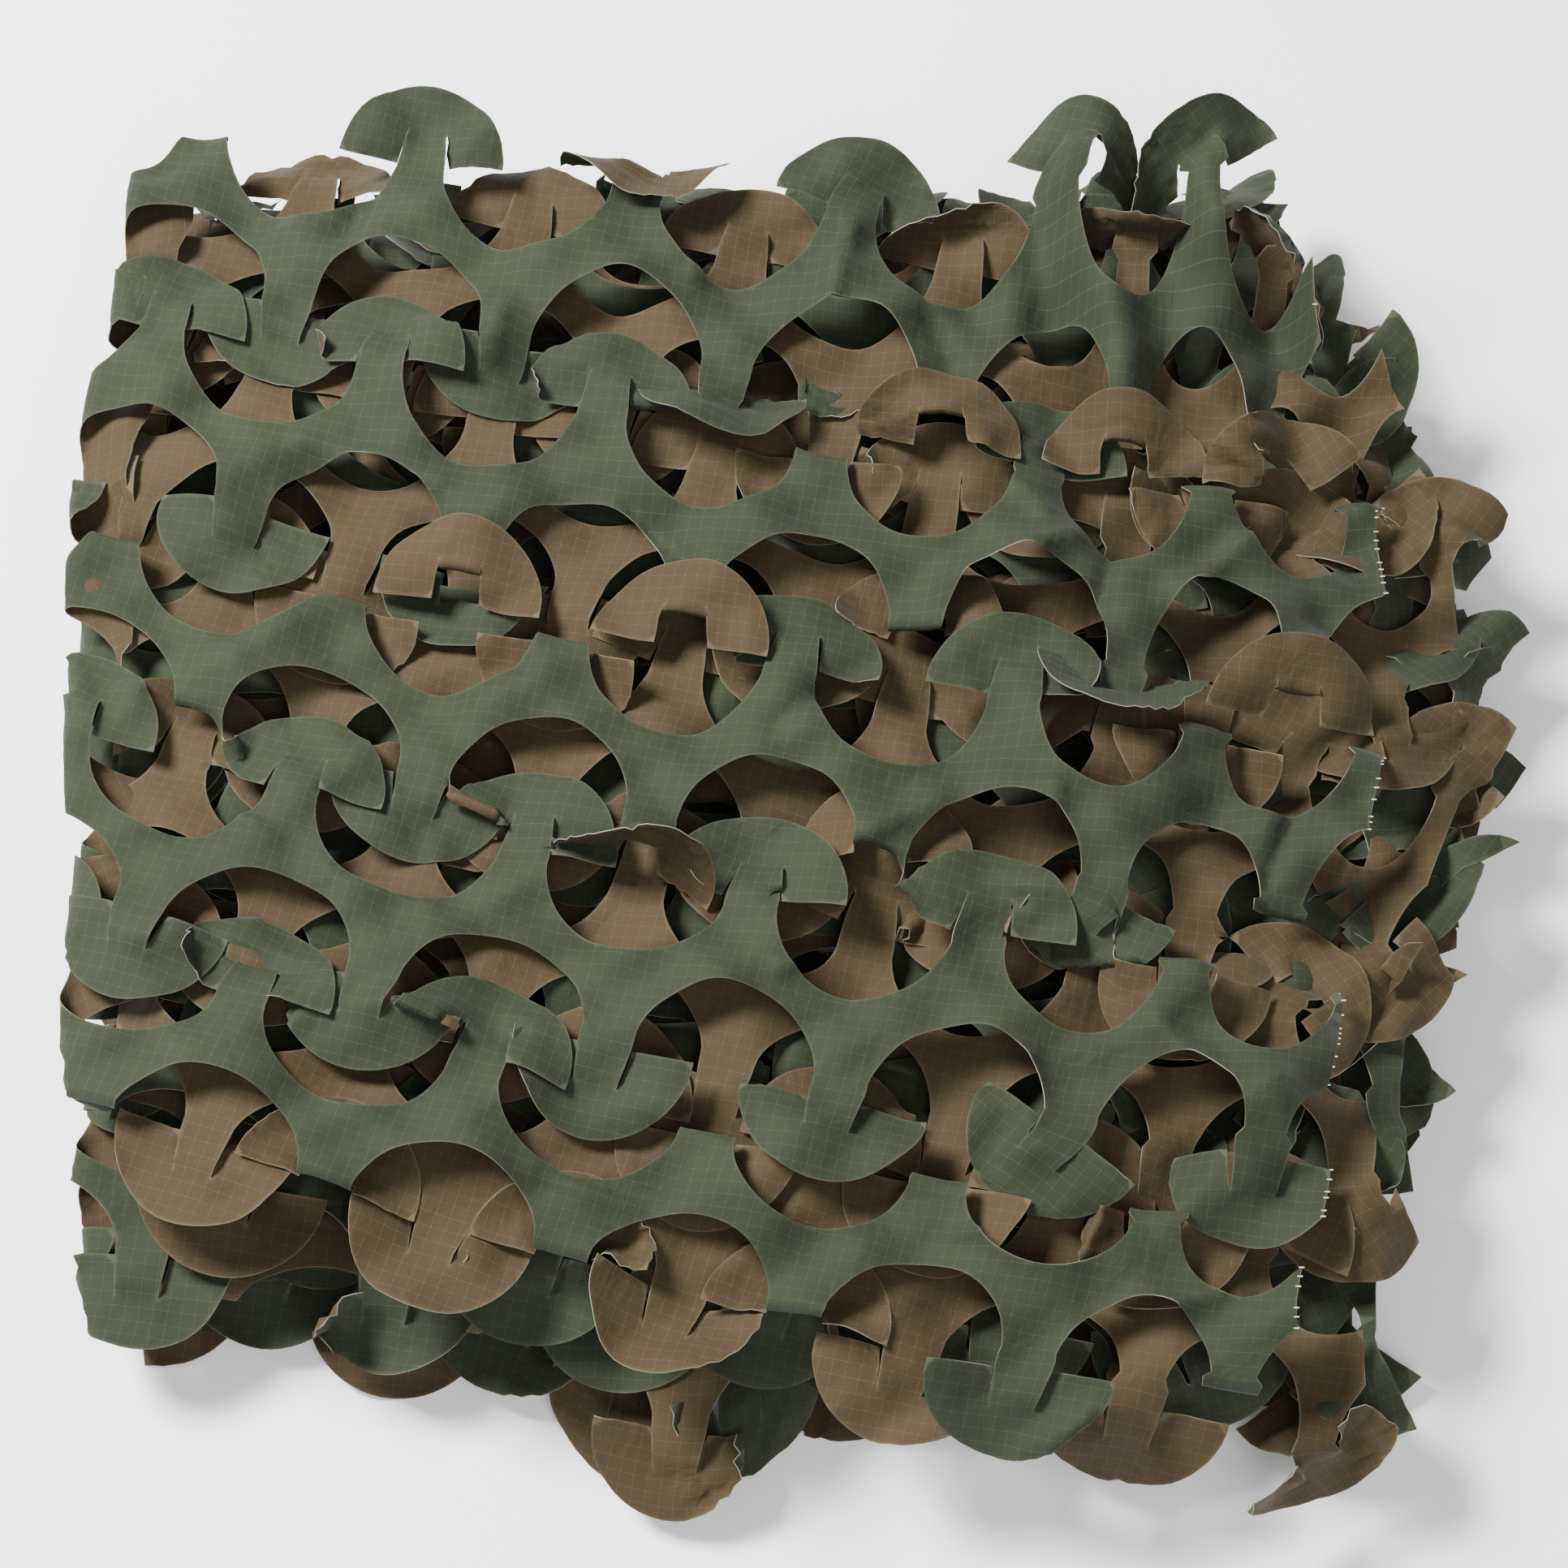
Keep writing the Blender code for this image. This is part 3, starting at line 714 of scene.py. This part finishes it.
def relaxCloth(cloth, points, side, free, under, layer, slip):
    # repeated small moves: edges and folds back to length, loose cloth down, nothing through what lies below
    faces, count = cloth["faces"], len(points)
    edges = faceEdges(faces)
    other = np.concatenate([faces[:, 2], faces[:, 0], faces[:, 1]])
    low, high = edges.min(axis=1), edges.max(axis=1)
    key = low * count + high
    pairA, pairB = (other[place] for place in samePairs(key))
    _, first = np.unique(key, return_index=True)
    a, b = low[first], high[first]
    head = cloth["capRow"] != noCap

    def flatGap(i, j):
        # cloth length where a cap is involved, length as laid within the web
        laid = np.linalg.norm(points[i] - points[j], axis=1)
        cut = np.hypot(*(cloth["uv"][i] - cloth["uv"][j]).T)
        return np.where((cloth["band"][i] == cloth["band"][j]) & ~head[i] & ~head[j], laid, cut)

    def meeting(i, j):
        # how many links meet at each vertex
        return np.maximum(np.bincount(i, minlength=count) + np.bincount(j, minlength=count), 1)[:, None]

    flatAcross = flatGap(pairA, pairB)
    setAcross = np.linalg.norm(points[pairA] - points[pairB], axis=1)
    across = flatAcross + drape["memory"] * (np.minimum(setAcross, flatAcross) - flatAcross)
    inBand = cloth["band"][pairA] == cloth["band"][pairB]
    pairA, pairB, across = pairA[inBand], pairB[inBand], across[inBand]
    degree = meeting(a, b).astype(float)
    links = (
        (a, b, flatGap(a, b), drape["stretch"], degree),
        (pairA, pairB, across, drape["bend"], meeting(pairA, pairB).astype(float)),
    )
    x, home, web = points.copy(), points, ~head
    hold = np.where(head, 0.0, drape["hold"])[:, None]
    weight = np.where(head, 1.0, drape["webWeight"]) * drape["weight"]
    left, right = sideEnds(layer, home[:, 1], slip)
    beyond = (home[:, 0] < left + drape["endReach"]) | (home[:, 0] > right - drape["endReach"])
    hold[beyond & web] = drape["holdEnds"]
    wrapped = web & (free == 0.0)
    levelCaps = head & (side == 0.0)
    laidCaps = head & ((side == 0.0) | (side == 1.0))
    underMap = softMap(under, 1)
    most = drape["push"]
    for step in range(drape["steps"]):
        for i, j, length, share, meets in links:
            # each end takes share / 2 of the stretch, shared among the links that meet there
            d = x[j] - x[i]
            size = np.maximum(np.linalg.norm(d, axis=1), 1e-9)
            move = d * (0.5 * share * (size - length) / size)[:, None]
            x = x + 2.0 * (spreadMove(count, i, move) - spreadMove(count, j, move)) / meets
        x[:, 2] -= weight
        x += (home - x) * hold
        if step % 8 == 0:
            overLevel = softMap(heightMap(x[levelCaps], underMap, np.maximum), 1)
            overAll = softMap(heightMap(x[web | laidCaps], underMap, np.maximum), 1)
            openRoof = np.maximum(underMap, (layer + drape["openRoof"]) * stack["pitch"])
            roof = softMap(heightMap(x[web], openRoof, np.minimum), 1)
        floorNow = readMap(underMap, x)
        floorNow = np.where(side == 1.0, np.maximum(floorNow, readMap(overLevel, x)), floorNow)
        floorNow = np.where(side == 2.0, np.maximum(floorNow, readMap(overAll, x)), floorNow)
        push = np.minimum(np.maximum(floorNow + drape["gap"] - x[:, 2], 0.0), most)
        drop = np.where(side < 0.0, np.maximum(x[:, 2] - readMap(roof, x) + drape["gap"], 0.0), 0.0)
        push = push - np.minimum(drop, most)
        for _ in range(3):
            # half of each push is shared with the vertices round it
            near = np.bincount(a, weights=push[b], minlength=count)
            near = near + np.bincount(b, weights=push[a], minlength=count)
            push = 0.5 * push + 0.5 * near / degree[:, 0]
        x[:, 2] += push * free * (1.0 if step < drape["steps"] - drape["settle"] else 0.0)
        x[:, 2] = np.maximum(x[:, 2], stack["least"])
        x[wrapped, 2] = np.minimum(x[wrapped, 2], home[wrapped, 2])
    return x


def snapEdge(gap, uv, faces):
    # move the nearer end of each edge that crosses gap = 0 onto the line, then drop faces beyond it
    edges = faceEdges(faces)
    cross = edges[(gap[edges[:, 0]] > 0) != (gap[edges[:, 1]] > 0)]
    nearEnd = np.where(np.abs(gap[cross[:, 0]]) < np.abs(gap[cross[:, 1]]), cross[:, 0], cross[:, 1])
    farEnd = cross.sum(axis=1) - nearEnd
    share = gap[nearEnd] / (gap[nearEnd] - gap[farEnd])
    moved = uv.copy()
    moved[nearEnd] = uv[nearEnd] + (uv[farEnd] - uv[nearEnd]) * share[:, None]
    newGap = gap.copy()
    newGap[nearEnd] = 0.0
    keep = newGap[faces].sum(axis=1) > 1e-9
    keep &= newGap[faces].min(axis=1) > -1e-9
    return moved, keep


def largePieces(faces, count, least):
    # spread the lowest vertex number through each connected piece, and keep pieces of enough faces
    label = np.arange(count)
    for _ in range(400):
        before = label.copy()
        low = label[faces].min(axis=1)
        np.minimum.at(label, faces.ravel(), np.repeat(low, 3))
        label = label[label]
        if np.array_equal(before, label):
            break
    faceLabel = label[faces[:, 0]]
    names, sizes = np.unique(faceLabel, return_counts=True)
    return np.isin(faceLabel, names[sizes >= least])


def cutLength(flat, layer, bands, origin, slip):
    # the part of the flat cloth that one length of the stack uses, with its laid place
    uv = flat["uv"]
    # columns: the three corners of a face, its band, and the row and column of its cap
    table = np.c_[flat["faces"], flat["faceBand"], flat["faceRow"], flat["faceColumn"]]
    table = table[(table[:, 3] >= bands[0]) & (table[:, 3] <= bands[1])]
    vertexBand = perVertex(table[:, 3], table[:, :3], len(uv), np.maximum)
    x, y = layOut(uv[:, 0], uv[:, 1], vertexBand, origin)
    left, right = sideEnds(layer, y, slip)
    turnOver = math.pi * stack["foldRadius"] + stack["tuck"]
    # lengths that are folded at the left run on round the fold; the others stop short of the ends
    short = edges["oddShort"] if layer % 2 else 0.0
    leftEnd = left - turnOver if layer % 2 == 0 and layer > 0 else left + short
    rightEnd = right - (short or (edges["evenShort"] if layer < topLayer else 0.0))
    gaps = [x - leftEnd, rightEnd - x]
    if layer < topLayer - 1:
        gaps += [edges["backCut"] - y, y - edges["frontCut"]]
    for gap in gaps:
        uv, inside = snapEdge(gap, uv, table[:, :3])
        table = table[inside]
    names = np.unique(table[:, 4:], axis=0).tolist()
    for row, column in names if layer % 2 == 0 else []:
        # caps tucked in at a fold or at the free end are left out with their stems
        if row == noCap or capState(layer, row, column)[0] > necks["tucked"]:
            continue
        u, v = rowLine(row, column)
        centre = uv[table[:, :3]].mean(axis=1)
        band, _, t = stemLine(row, column, centre[:, 1])
        px, py = layOut(np.array([u]), np.array([v]), band, origin)
        left, right = sideEnds(layer, py, slip)
        atFreeEnd = layer == topLayer and px[0] > right[0] - necks["dropRight"]
        if px[0] < left[0] + necks["dropLeft"] or atFreeEnd:
            stem = (np.abs(centre[:, 0] - u) < necks["stemHalf"]) & (t > 0.0) & (t < cutPattern["slitDepth"])
            stem &= table[:, 3] == band
            table = table[~stem & ((table[:, 4] != row) | (table[:, 5] != column))]
    table = table[largePieces(table[:, :3], len(uv), least=30)]
    used, inverse = np.unique(table[:, :3], return_inverse=True)
    faces = inverse.reshape(-1, 3)
    cloth = {"uv": uv[used], "faces": faces}
    cloth["band"] = perVertex(table[:, 3], faces, len(used), np.maximum)
    cloth["capRow"] = perVertex(table[:, 4], faces, len(used), np.minimum)
    cloth["capColumn"] = perVertex(table[:, 5], faces, len(used), np.minimum)
    cloth["capNames"] = [(row, column) for row, column in names if row != noCap]
    return cloth


def vertexNormals(points, faces):
    # area-weighted mean of the face normals
    a, b, c = points[faces[:, 0]], points[faces[:, 1]], points[faces[:, 2]]
    flat = np.cross(b - a, c - a)
    out = np.zeros_like(points)
    for i in range(3):
        np.add.at(out, faces[:, i], flat)
    return out / np.maximum(np.linalg.norm(out, axis=1), 1e-12)[:, None]


def clothShell(name, points, faces, uv, materials, greenUp):
    # green and brown skins half the thickness out along the normals, and a rim of edge quads between them
    normal = vertexNormals(points, faces)
    count = len(points)
    top = points + normal * finish["thickness"] * 0.5
    low = points - normal * finish["thickness"] * 0.5
    edges = faceEdges(faces)
    key = np.sort(edges, axis=1)
    key = key[:, 0] * count + key[:, 1]
    _, first, times = np.unique(key, return_index=True, return_counts=True)
    rim = edges[first[times == 1]]
    quads = np.c_[rim[:, 1], rim[:, 0], rim[:, 0] + count, rim[:, 1] + count]
    rimTris = np.concatenate([quads[:, [0, 1, 2]], quads[:, [0, 2, 3]]])
    allFaces = np.concatenate([faces, faces[:, ::-1] + count, rimTris])
    skin = np.concatenate([np.zeros(len(faces), int), np.ones(len(faces), int), np.full(len(rimTris), 2)])
    if not greenUp:
        skin[:len(faces)] = 1
        skin[len(faces):2 * len(faces)] = 0
    mesh = bpy.data.meshes.new(name)
    everyPoint = np.concatenate([top, low])
    mesh.vertices.add(len(everyPoint))
    mesh.vertices.foreach_set("co", everyPoint.ravel())
    mesh.loops.add(allFaces.size)
    mesh.loops.foreach_set("vertex_index", allFaces.ravel())
    mesh.polygons.add(len(allFaces))
    mesh.polygons.foreach_set("loop_start", np.arange(len(allFaces)) * 3)
    mesh.polygons.foreach_set("material_index", skin)
    mesh.polygons.foreach_set("use_smooth", np.ones(len(allFaces), bool))
    layer = mesh.uv_layers.new(name="cloth")
    twice = np.concatenate([uv, uv])
    layer.data.foreach_set("uv", twice[allFaces.ravel()].ravel())
    edgeShade = np.zeros(count)
    edgeShade[rim.ravel()] = 1.0
    shades = mesh.attributes.new("edge", "FLOAT", "POINT")
    shades.data.foreach_set("value", np.concatenate([edgeShade, edgeShade]))
    mesh.update(calc_edges=True)
    pairs = np.empty(len(mesh.edges) * 2, dtype=int)
    mesh.edges.foreach_get("vertices", pairs)
    pairs = np.sort(pairs.reshape(-1, 2), axis=1)
    rimKey = np.sort(rim, axis=1)
    rimKey = np.concatenate([rimKey, rimKey + count])
    sharp = np.isin(pairs[:, 0] * 4 * count + pairs[:, 1], rimKey[:, 0] * 4 * count + rimKey[:, 1])
    mesh.attributes.new("sharp_edge", "BOOLEAN", "EDGE").data.foreach_set("value", sharp)
    mesh.validate()
    for material in materials:
        mesh.materials.append(material)
    print(name, "triangles", len(allFaces))
    return put(name, mesh)


# the cloth's finish: colours are linear, sizes in metres; a user changes them here
finish = {
    "thickness": 0.0003,
    "green": (0.0216, 0.0280, 0.0130), "greenDeep": (0.0124, 0.0162, 0.0078),
    "brown": (0.0492, 0.0336, 0.0140), "brownDeep": (0.0262, 0.0176, 0.0072),
    "cutEdge": (0.22, 0.20, 0.15), "thread": (0.50, 0.48, 0.40),
    "gridSize": 0.0052, "gridWidth": 0.036,               # the line width is a share of the grid size
    "gridShine": 0.34, "dotShine": 0.80, "edgeShine": 0.26, "edgeFade": 9.0,
    "gridTint": (1.9, 0.03), "edgeTint": (2.6, 0.05),     # gain and lift of the colour
    "speckScale": 900.0, "speckGain": 1.8,                # breaks up the grid lines
    "toneScale": 14.0,
    "weaveScale": 2600.0, "weaveHeight": 0.00008,
    "creaseScale": 42.0, "creaseHeight": 0.0034,
    "gridHeight": 0.00012, "bump": 0.6,
}


def ripstop(name, colour, deep):
    # colour: broad tones, the pale grid, a pale line along the cut edges; bump: weave, creases, grid
    material = bpy.data.materials.new(name)
    material.use_nodes = True
    tree = material.node_tree
    tree.nodes.clear()

    def node(kind, inputs, **settings):
        made = tree.nodes.new("ShaderNode" + kind)
        for key, value in settings.items():
            setattr(made, key, value)
        for key, value in inputs.items():
            if isinstance(value, bpy.types.NodeSocket):
                tree.links.new(value, made.inputs[key])
            else:
                made.inputs[key].default_value = value
        return made

    def number(kind, a, b, clamp=False):
        return node("Math", {0: a, 1: b}, operation=kind, use_clamp=clamp).outputs[0]

    def noise(scale, detail, distortion=0.0):
        inputs = {"Vector": uv, "Scale": scale, "Detail": detail, "Distortion": distortion}
        return node("TexNoise", inputs).outputs[0]

    def mixed(a, b, factor):
        return node("Mix", {"A": a, "B": b, "Factor": factor}, data_type="RGBA").outputs["Result"]

    def tint(gain, lift):
        return (*(min(1.0, gain * c + lift) for c in colour), 1.0)

    def thread(value):
        # 1 on a grid line, 0 elsewhere: 1 - distance to the nearest whole number / width
        away = number("PINGPONG", value, 0.5)
        return number("SUBTRACT", 1.0, number("DIVIDE", away, finish["gridWidth"], True), True)

    uv = node("UVMap", {}, uv_map="cloth").outputs[0]
    cell = node("VectorMath", {0: uv, "Scale": 1.0 / finish["gridSize"]}, operation="SCALE")
    split = node("SeparateXYZ", {0: cell.outputs[0]})
    lineU, lineV = thread(split.outputs[0]), thread(split.outputs[1])
    crossing = number("MULTIPLY", lineU, lineV)
    either = number("MAXIMUM", lineU, lineV)
    speckle = number("MULTIPLY", noise(finish["speckScale"], 2.0), finish["speckGain"], True)
    amount = number("MULTIPLY", number("MULTIPLY", either, speckle), finish["gridShine"])
    amount = number("ADD", amount, number("MULTIPLY", crossing, finish["dotShine"]), True)
    tone = mixed((*deep, 1.0), (*colour, 1.0), noise(finish["toneScale"], 4.0))
    lit = mixed(tone, tint(*finish["gridTint"]), amount)
    # shade along a cut edge = edge ^ fade
    rim = node("Attribute", {}, attribute_name="edge").outputs["Fac"]
    rim = number("MULTIPLY", number("POWER", rim, finish["edgeFade"]), finish["edgeShine"])
    height = number("MULTIPLY", noise(finish["weaveScale"], 1.0), finish["weaveHeight"])
    crease = number("MULTIPLY", noise(finish["creaseScale"], 5.0, 0.6), finish["creaseHeight"])
    height = number("ADD", number("ADD", height, crease), number("MULTIPLY", either, finish["gridHeight"]))
    bump = node("Bump", {"Strength": finish["bump"], "Distance": 1.0, "Height": height})
    shader = node("BsdfPrincipled", {
        "Base Color": mixed(lit, tint(*finish["edgeTint"]), rim), "Normal": bump.outputs[0],
        "Roughness": 0.80, "Specular IOR Level": 0.20, "Sheen Weight": 0.04, "Sheen Roughness": 0.5})
    node("OutputMaterial", {0: shader.outputs[0]})
    return material


def plain(name, colour, specular=0.5):
    # one even colour
    material = bpy.data.materials.new(name)
    material.use_nodes = True
    shader = material.node_tree.nodes["Principled BSDF"]
    shader.inputs["Base Color"].default_value = (*colour, 1.0)
    shader.inputs["Roughness"].default_value = 0.9
    shader.inputs["Specular IOR Level"].default_value = specular
    return material


# short ends of the cross threads along the straight edge: from one to the next, length, width, part inside,
# and how near the edge line a vertex has to be to carry one
selvage = {"gap": 0.0040, "length": 0.0008, "width": 0.0004, "rooted": 0.001, "onEdge": 0.0008}


def threadStubs(points, cloth, material):
    # thin boxes that stick out along x from the right edge of the top length
    rightX = layOut(cloth["uv"][:, 0], cloth["uv"][:, 1], cloth["band"], (*layDown["origin"], 0.0, 0.0))[0]
    _, right = sideEnds(topLayer, points[:, 1], (0.0, 0.0))
    onEdge = np.nonzero(np.abs(rightX - right) < selvage["onEdge"])[0]
    rows = np.floor(points[onEdge, 1] / selvage["gap"]).astype(int)
    _, pick = np.unique(rows, return_index=True)
    root = points[onEdge[pick]]
    wide, long, rooted = selvage["width"], selvage["length"], selvage["rooted"]
    corners = np.array([[i, j, k] for i in (0.0, 1.0) for j in (-0.5, 0.5) for k in (-0.5, 0.5)])
    box = corners * np.array([long + rooted, wide, wide]) - np.array([rooted, 0.0, 0.0])
    spots = (root[:, None, :] + box[None, :, :]).reshape(-1, 3)
    sides = np.array([[0, 1, 3, 2], [4, 6, 7, 5], [0, 4, 5, 1], [2, 3, 7, 6], [0, 2, 6, 4], [1, 5, 7, 3]])
    quads = (sides[None] + 8 * np.arange(len(root))[:, None, None]).reshape(-1, 4)
    mesh = bpy.data.meshes.new("selvage_threads")
    mesh.from_pydata(spots.tolist(), [], quads.tolist())
    mesh.update()
    mesh.materials.append(material)
    print("selvage threads", len(root))
    return put("selvage_threads", mesh)


# flat cloth: edge length, places where a cap stays joined to the web beside its stem, seed of the points
flats = {
    "top": (0.0034, {(-2, 0), (0, -1), (1, -1)}, 3),
    "low": (0.0046, set(), 5),
    "rows": range(-5, 5), "columns": range(-8, 12),
}


def buildFlat(name):
    # the flat cloth that the lengths are taken from, cut, opened and sorted into bands and caps
    spacing, joined, seed = flats[name]
    uv, faces = flatCloth(spacing, flats["rows"], flats["columns"], joined, seed)
    band, capRow, capColumn = sortPieces(uv, faces)
    print("flat cloth", name, len(uv))
    return {"uv": uv, "faces": faces, "faceBand": band, "faceRow": capRow, "faceColumn": capColumn}


flatTop = buildFlat("top")
flatLow = buildFlat("low")
materials = [ripstop("net_green", finish["green"], finish["greenDeep"]),
             ripstop("net_brown", finish["brown"], finish["brownDeep"]), plain("cut_edge", finish["cutEdge"])]

# each length, bottom first: slip of its left and right ends, turn of its pattern in degrees, offset of its
# pattern, and how far its back part is drawn forward
stepX, stepY = (cutPattern["halfStep"] * layDown["along"][i] for i in range(2))
lengths = (
    ((-0.002, -0.010), 12.0, (0.020, -0.020), 0.0),
    ((0.002, -0.008), 12.0, (-0.012, 0.010), 0.0),
    ((0.000, -0.006), 11.0, (0.032, 0.002), 0.0),
    ((0.002, -0.004), 12.0, (0.0, -0.018), 0.0),
    ((0.002, -0.004), 13.0, (-0.016, 0.013), 0.0),
    ((0.002, -0.004), 12.0, (stepX - 0.019, stepY + 0.034), 0.0),
    ((0.001, -0.002), 4.0, (-0.020, 0.016), 0.0),
    ((0.002, 0.0), 0.0, (stepX, stepY + 0.003), 0.014),
    ((0.0, 0.0), 0.0, (0.0, 0.0), 0.0),
)

# how high the caps of a covered length may rise, in layer heights where no unit is given
rooms = {
    "inside": 0.8, "rim": 4.0, "rimFrom": (-0.05, 0.01),    # more room past the rim
    "second": 0.030,                                        # metres, for the length under the top one
    "foldReach": 0.078, "fold": 0.5,                        # and less this near a left fold
    "clear": 0.75, "clearTop": 1.15,                        # what the next length lies on is cut off here
}


def limitRise(layer, place, slip):
    # room * tanh(rise / room)
    rise = place[:, 2]
    if layer == topLayer:
        return rise
    left, right = sideEnds(layer, place[:, 1], slip)
    rim = np.minimum(place[:, 1] - edges["frontY"], edges["backY"] - place[:, 1])
    rim = np.minimum(right - place[:, 0], rim)
    room = stack["pitch"] * (rooms["inside"] + rooms["rim"] * eased(-rim, *rooms["rimFrom"]))
    if layer == topLayer - 1:
        room = np.where(rise > 0.0, np.maximum(room, rooms["second"]), room)
    room = np.where(place[:, 0] < left + rooms["foldReach"], rooms["fold"] * stack["pitch"], room)
    return room * np.tanh(rise / room)


below = np.full(mapShape, 0.0)
for layer, (slip, turn, offset, draw) in enumerate(lengths):
    flat = flatTop if layer == topLayer else flatLow
    origin = (layDown["origin"][0] + offset[0], layDown["origin"][1] + offset[1], turn, draw)
    bands = (-3 if layer > 6 else -4, 1 if layer > 0 else 0)
    cloth = cutLength(flat, layer, bands, origin, slip)
    place, side, free = bendCaps(cloth, layer, origin, slip)
    points = layerSurface(layer, place[:, 0], place[:, 1], limitRise(layer, place, slip), slip)
    points[:, 2] = np.maximum(points[:, 2], stack["least"])
    # cloth already round a left fold is not pushed up, or it would come through the turn above it
    free = np.where(place[:, 0] < sideEnds(layer, place[:, 1], slip)[0], 0.0, free)
    points = relaxCloth(cloth, points, side, free, below, layer, slip)
    clear = (layer + rooms["clear" if layer < topLayer - 1 else "clearTop"]) * stack["pitch"]
    below = np.maximum(below, np.minimum(heightMap(points, below, np.maximum), clear))
    name = "net_length_%d" % (layer + 1)
    piece = clothShell(name, points, cloth["faces"], cloth["uv"], materials, layer % 2 == 0)
    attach(piece, "root")
    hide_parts("net_cloth")

threads = threadStubs(points, cloth, plain("thread", finish["thread"]))
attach(threads, "root")
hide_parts("net_cloth")

# plain light and floor; the camera looks down on the front at the elevation, in degrees
studio = {
    "target": (-0.005751, -0.028953, 0.095),
    "distance": 1.25,
    "elevation": 66.0,
    "lens": 78.0,
    "ambient": 0.44,
    "lamps": (("key", (-1.1, 0.5, 1.7), 0.6, 156.0), ("fill", (0.3, -1.2, 1.9), 1.2, 34.0)),
}


def buildStudio():
    # floor, even surroundings, a large soft lamp from the back left, a weak one from the front, the camera
    mesh = bpy.data.meshes.new("floor")
    mesh.from_pydata([(-4, -4, 0), (4, -4, 0), (4, 4, 0), (-4, 4, 0)], [], [(0, 1, 2, 3)])
    floor = put("floor", mesh)
    mesh.materials.append(plain("pale_floor", (0.94, 0.94, 0.94), 0.1))
    world = bpy.data.worlds.new("studio")
    bpy.context.scene.world = world
    world.use_nodes = True
    world.node_tree.nodes["Background"].inputs[0].default_value = (1.0, 1.0, 1.0, 1.0)
    world.node_tree.nodes["Background"].inputs[1].default_value = studio["ambient"]
    for name, place, size, power in studio["lamps"]:
        lamp = bpy.data.lights.new(name, "AREA")
        lamp.size = size
        lamp.energy = power
        light = put(name, lamp)
        light.location = place
        light.rotation_euler = (Vector((0, 0, 0.05)) - Vector(place)).to_track_quat("-Z", "Y").to_euler()
    target = Vector(studio["target"])
    tilt = math.radians(studio["elevation"])
    camera = bpy.data.cameras.new("camera")
    camera.sensor_width = 36.0
    camera.lens = studio["lens"]
    view = put("camera", camera)
    view.location = target + studio["distance"] * Vector((0.0, -math.cos(tilt), math.sin(tilt)))
    view.rotation_euler = (math.pi / 2.0 - tilt, 0.0, 0.0)
    bpy.context.scene.camera = view


buildStudio()
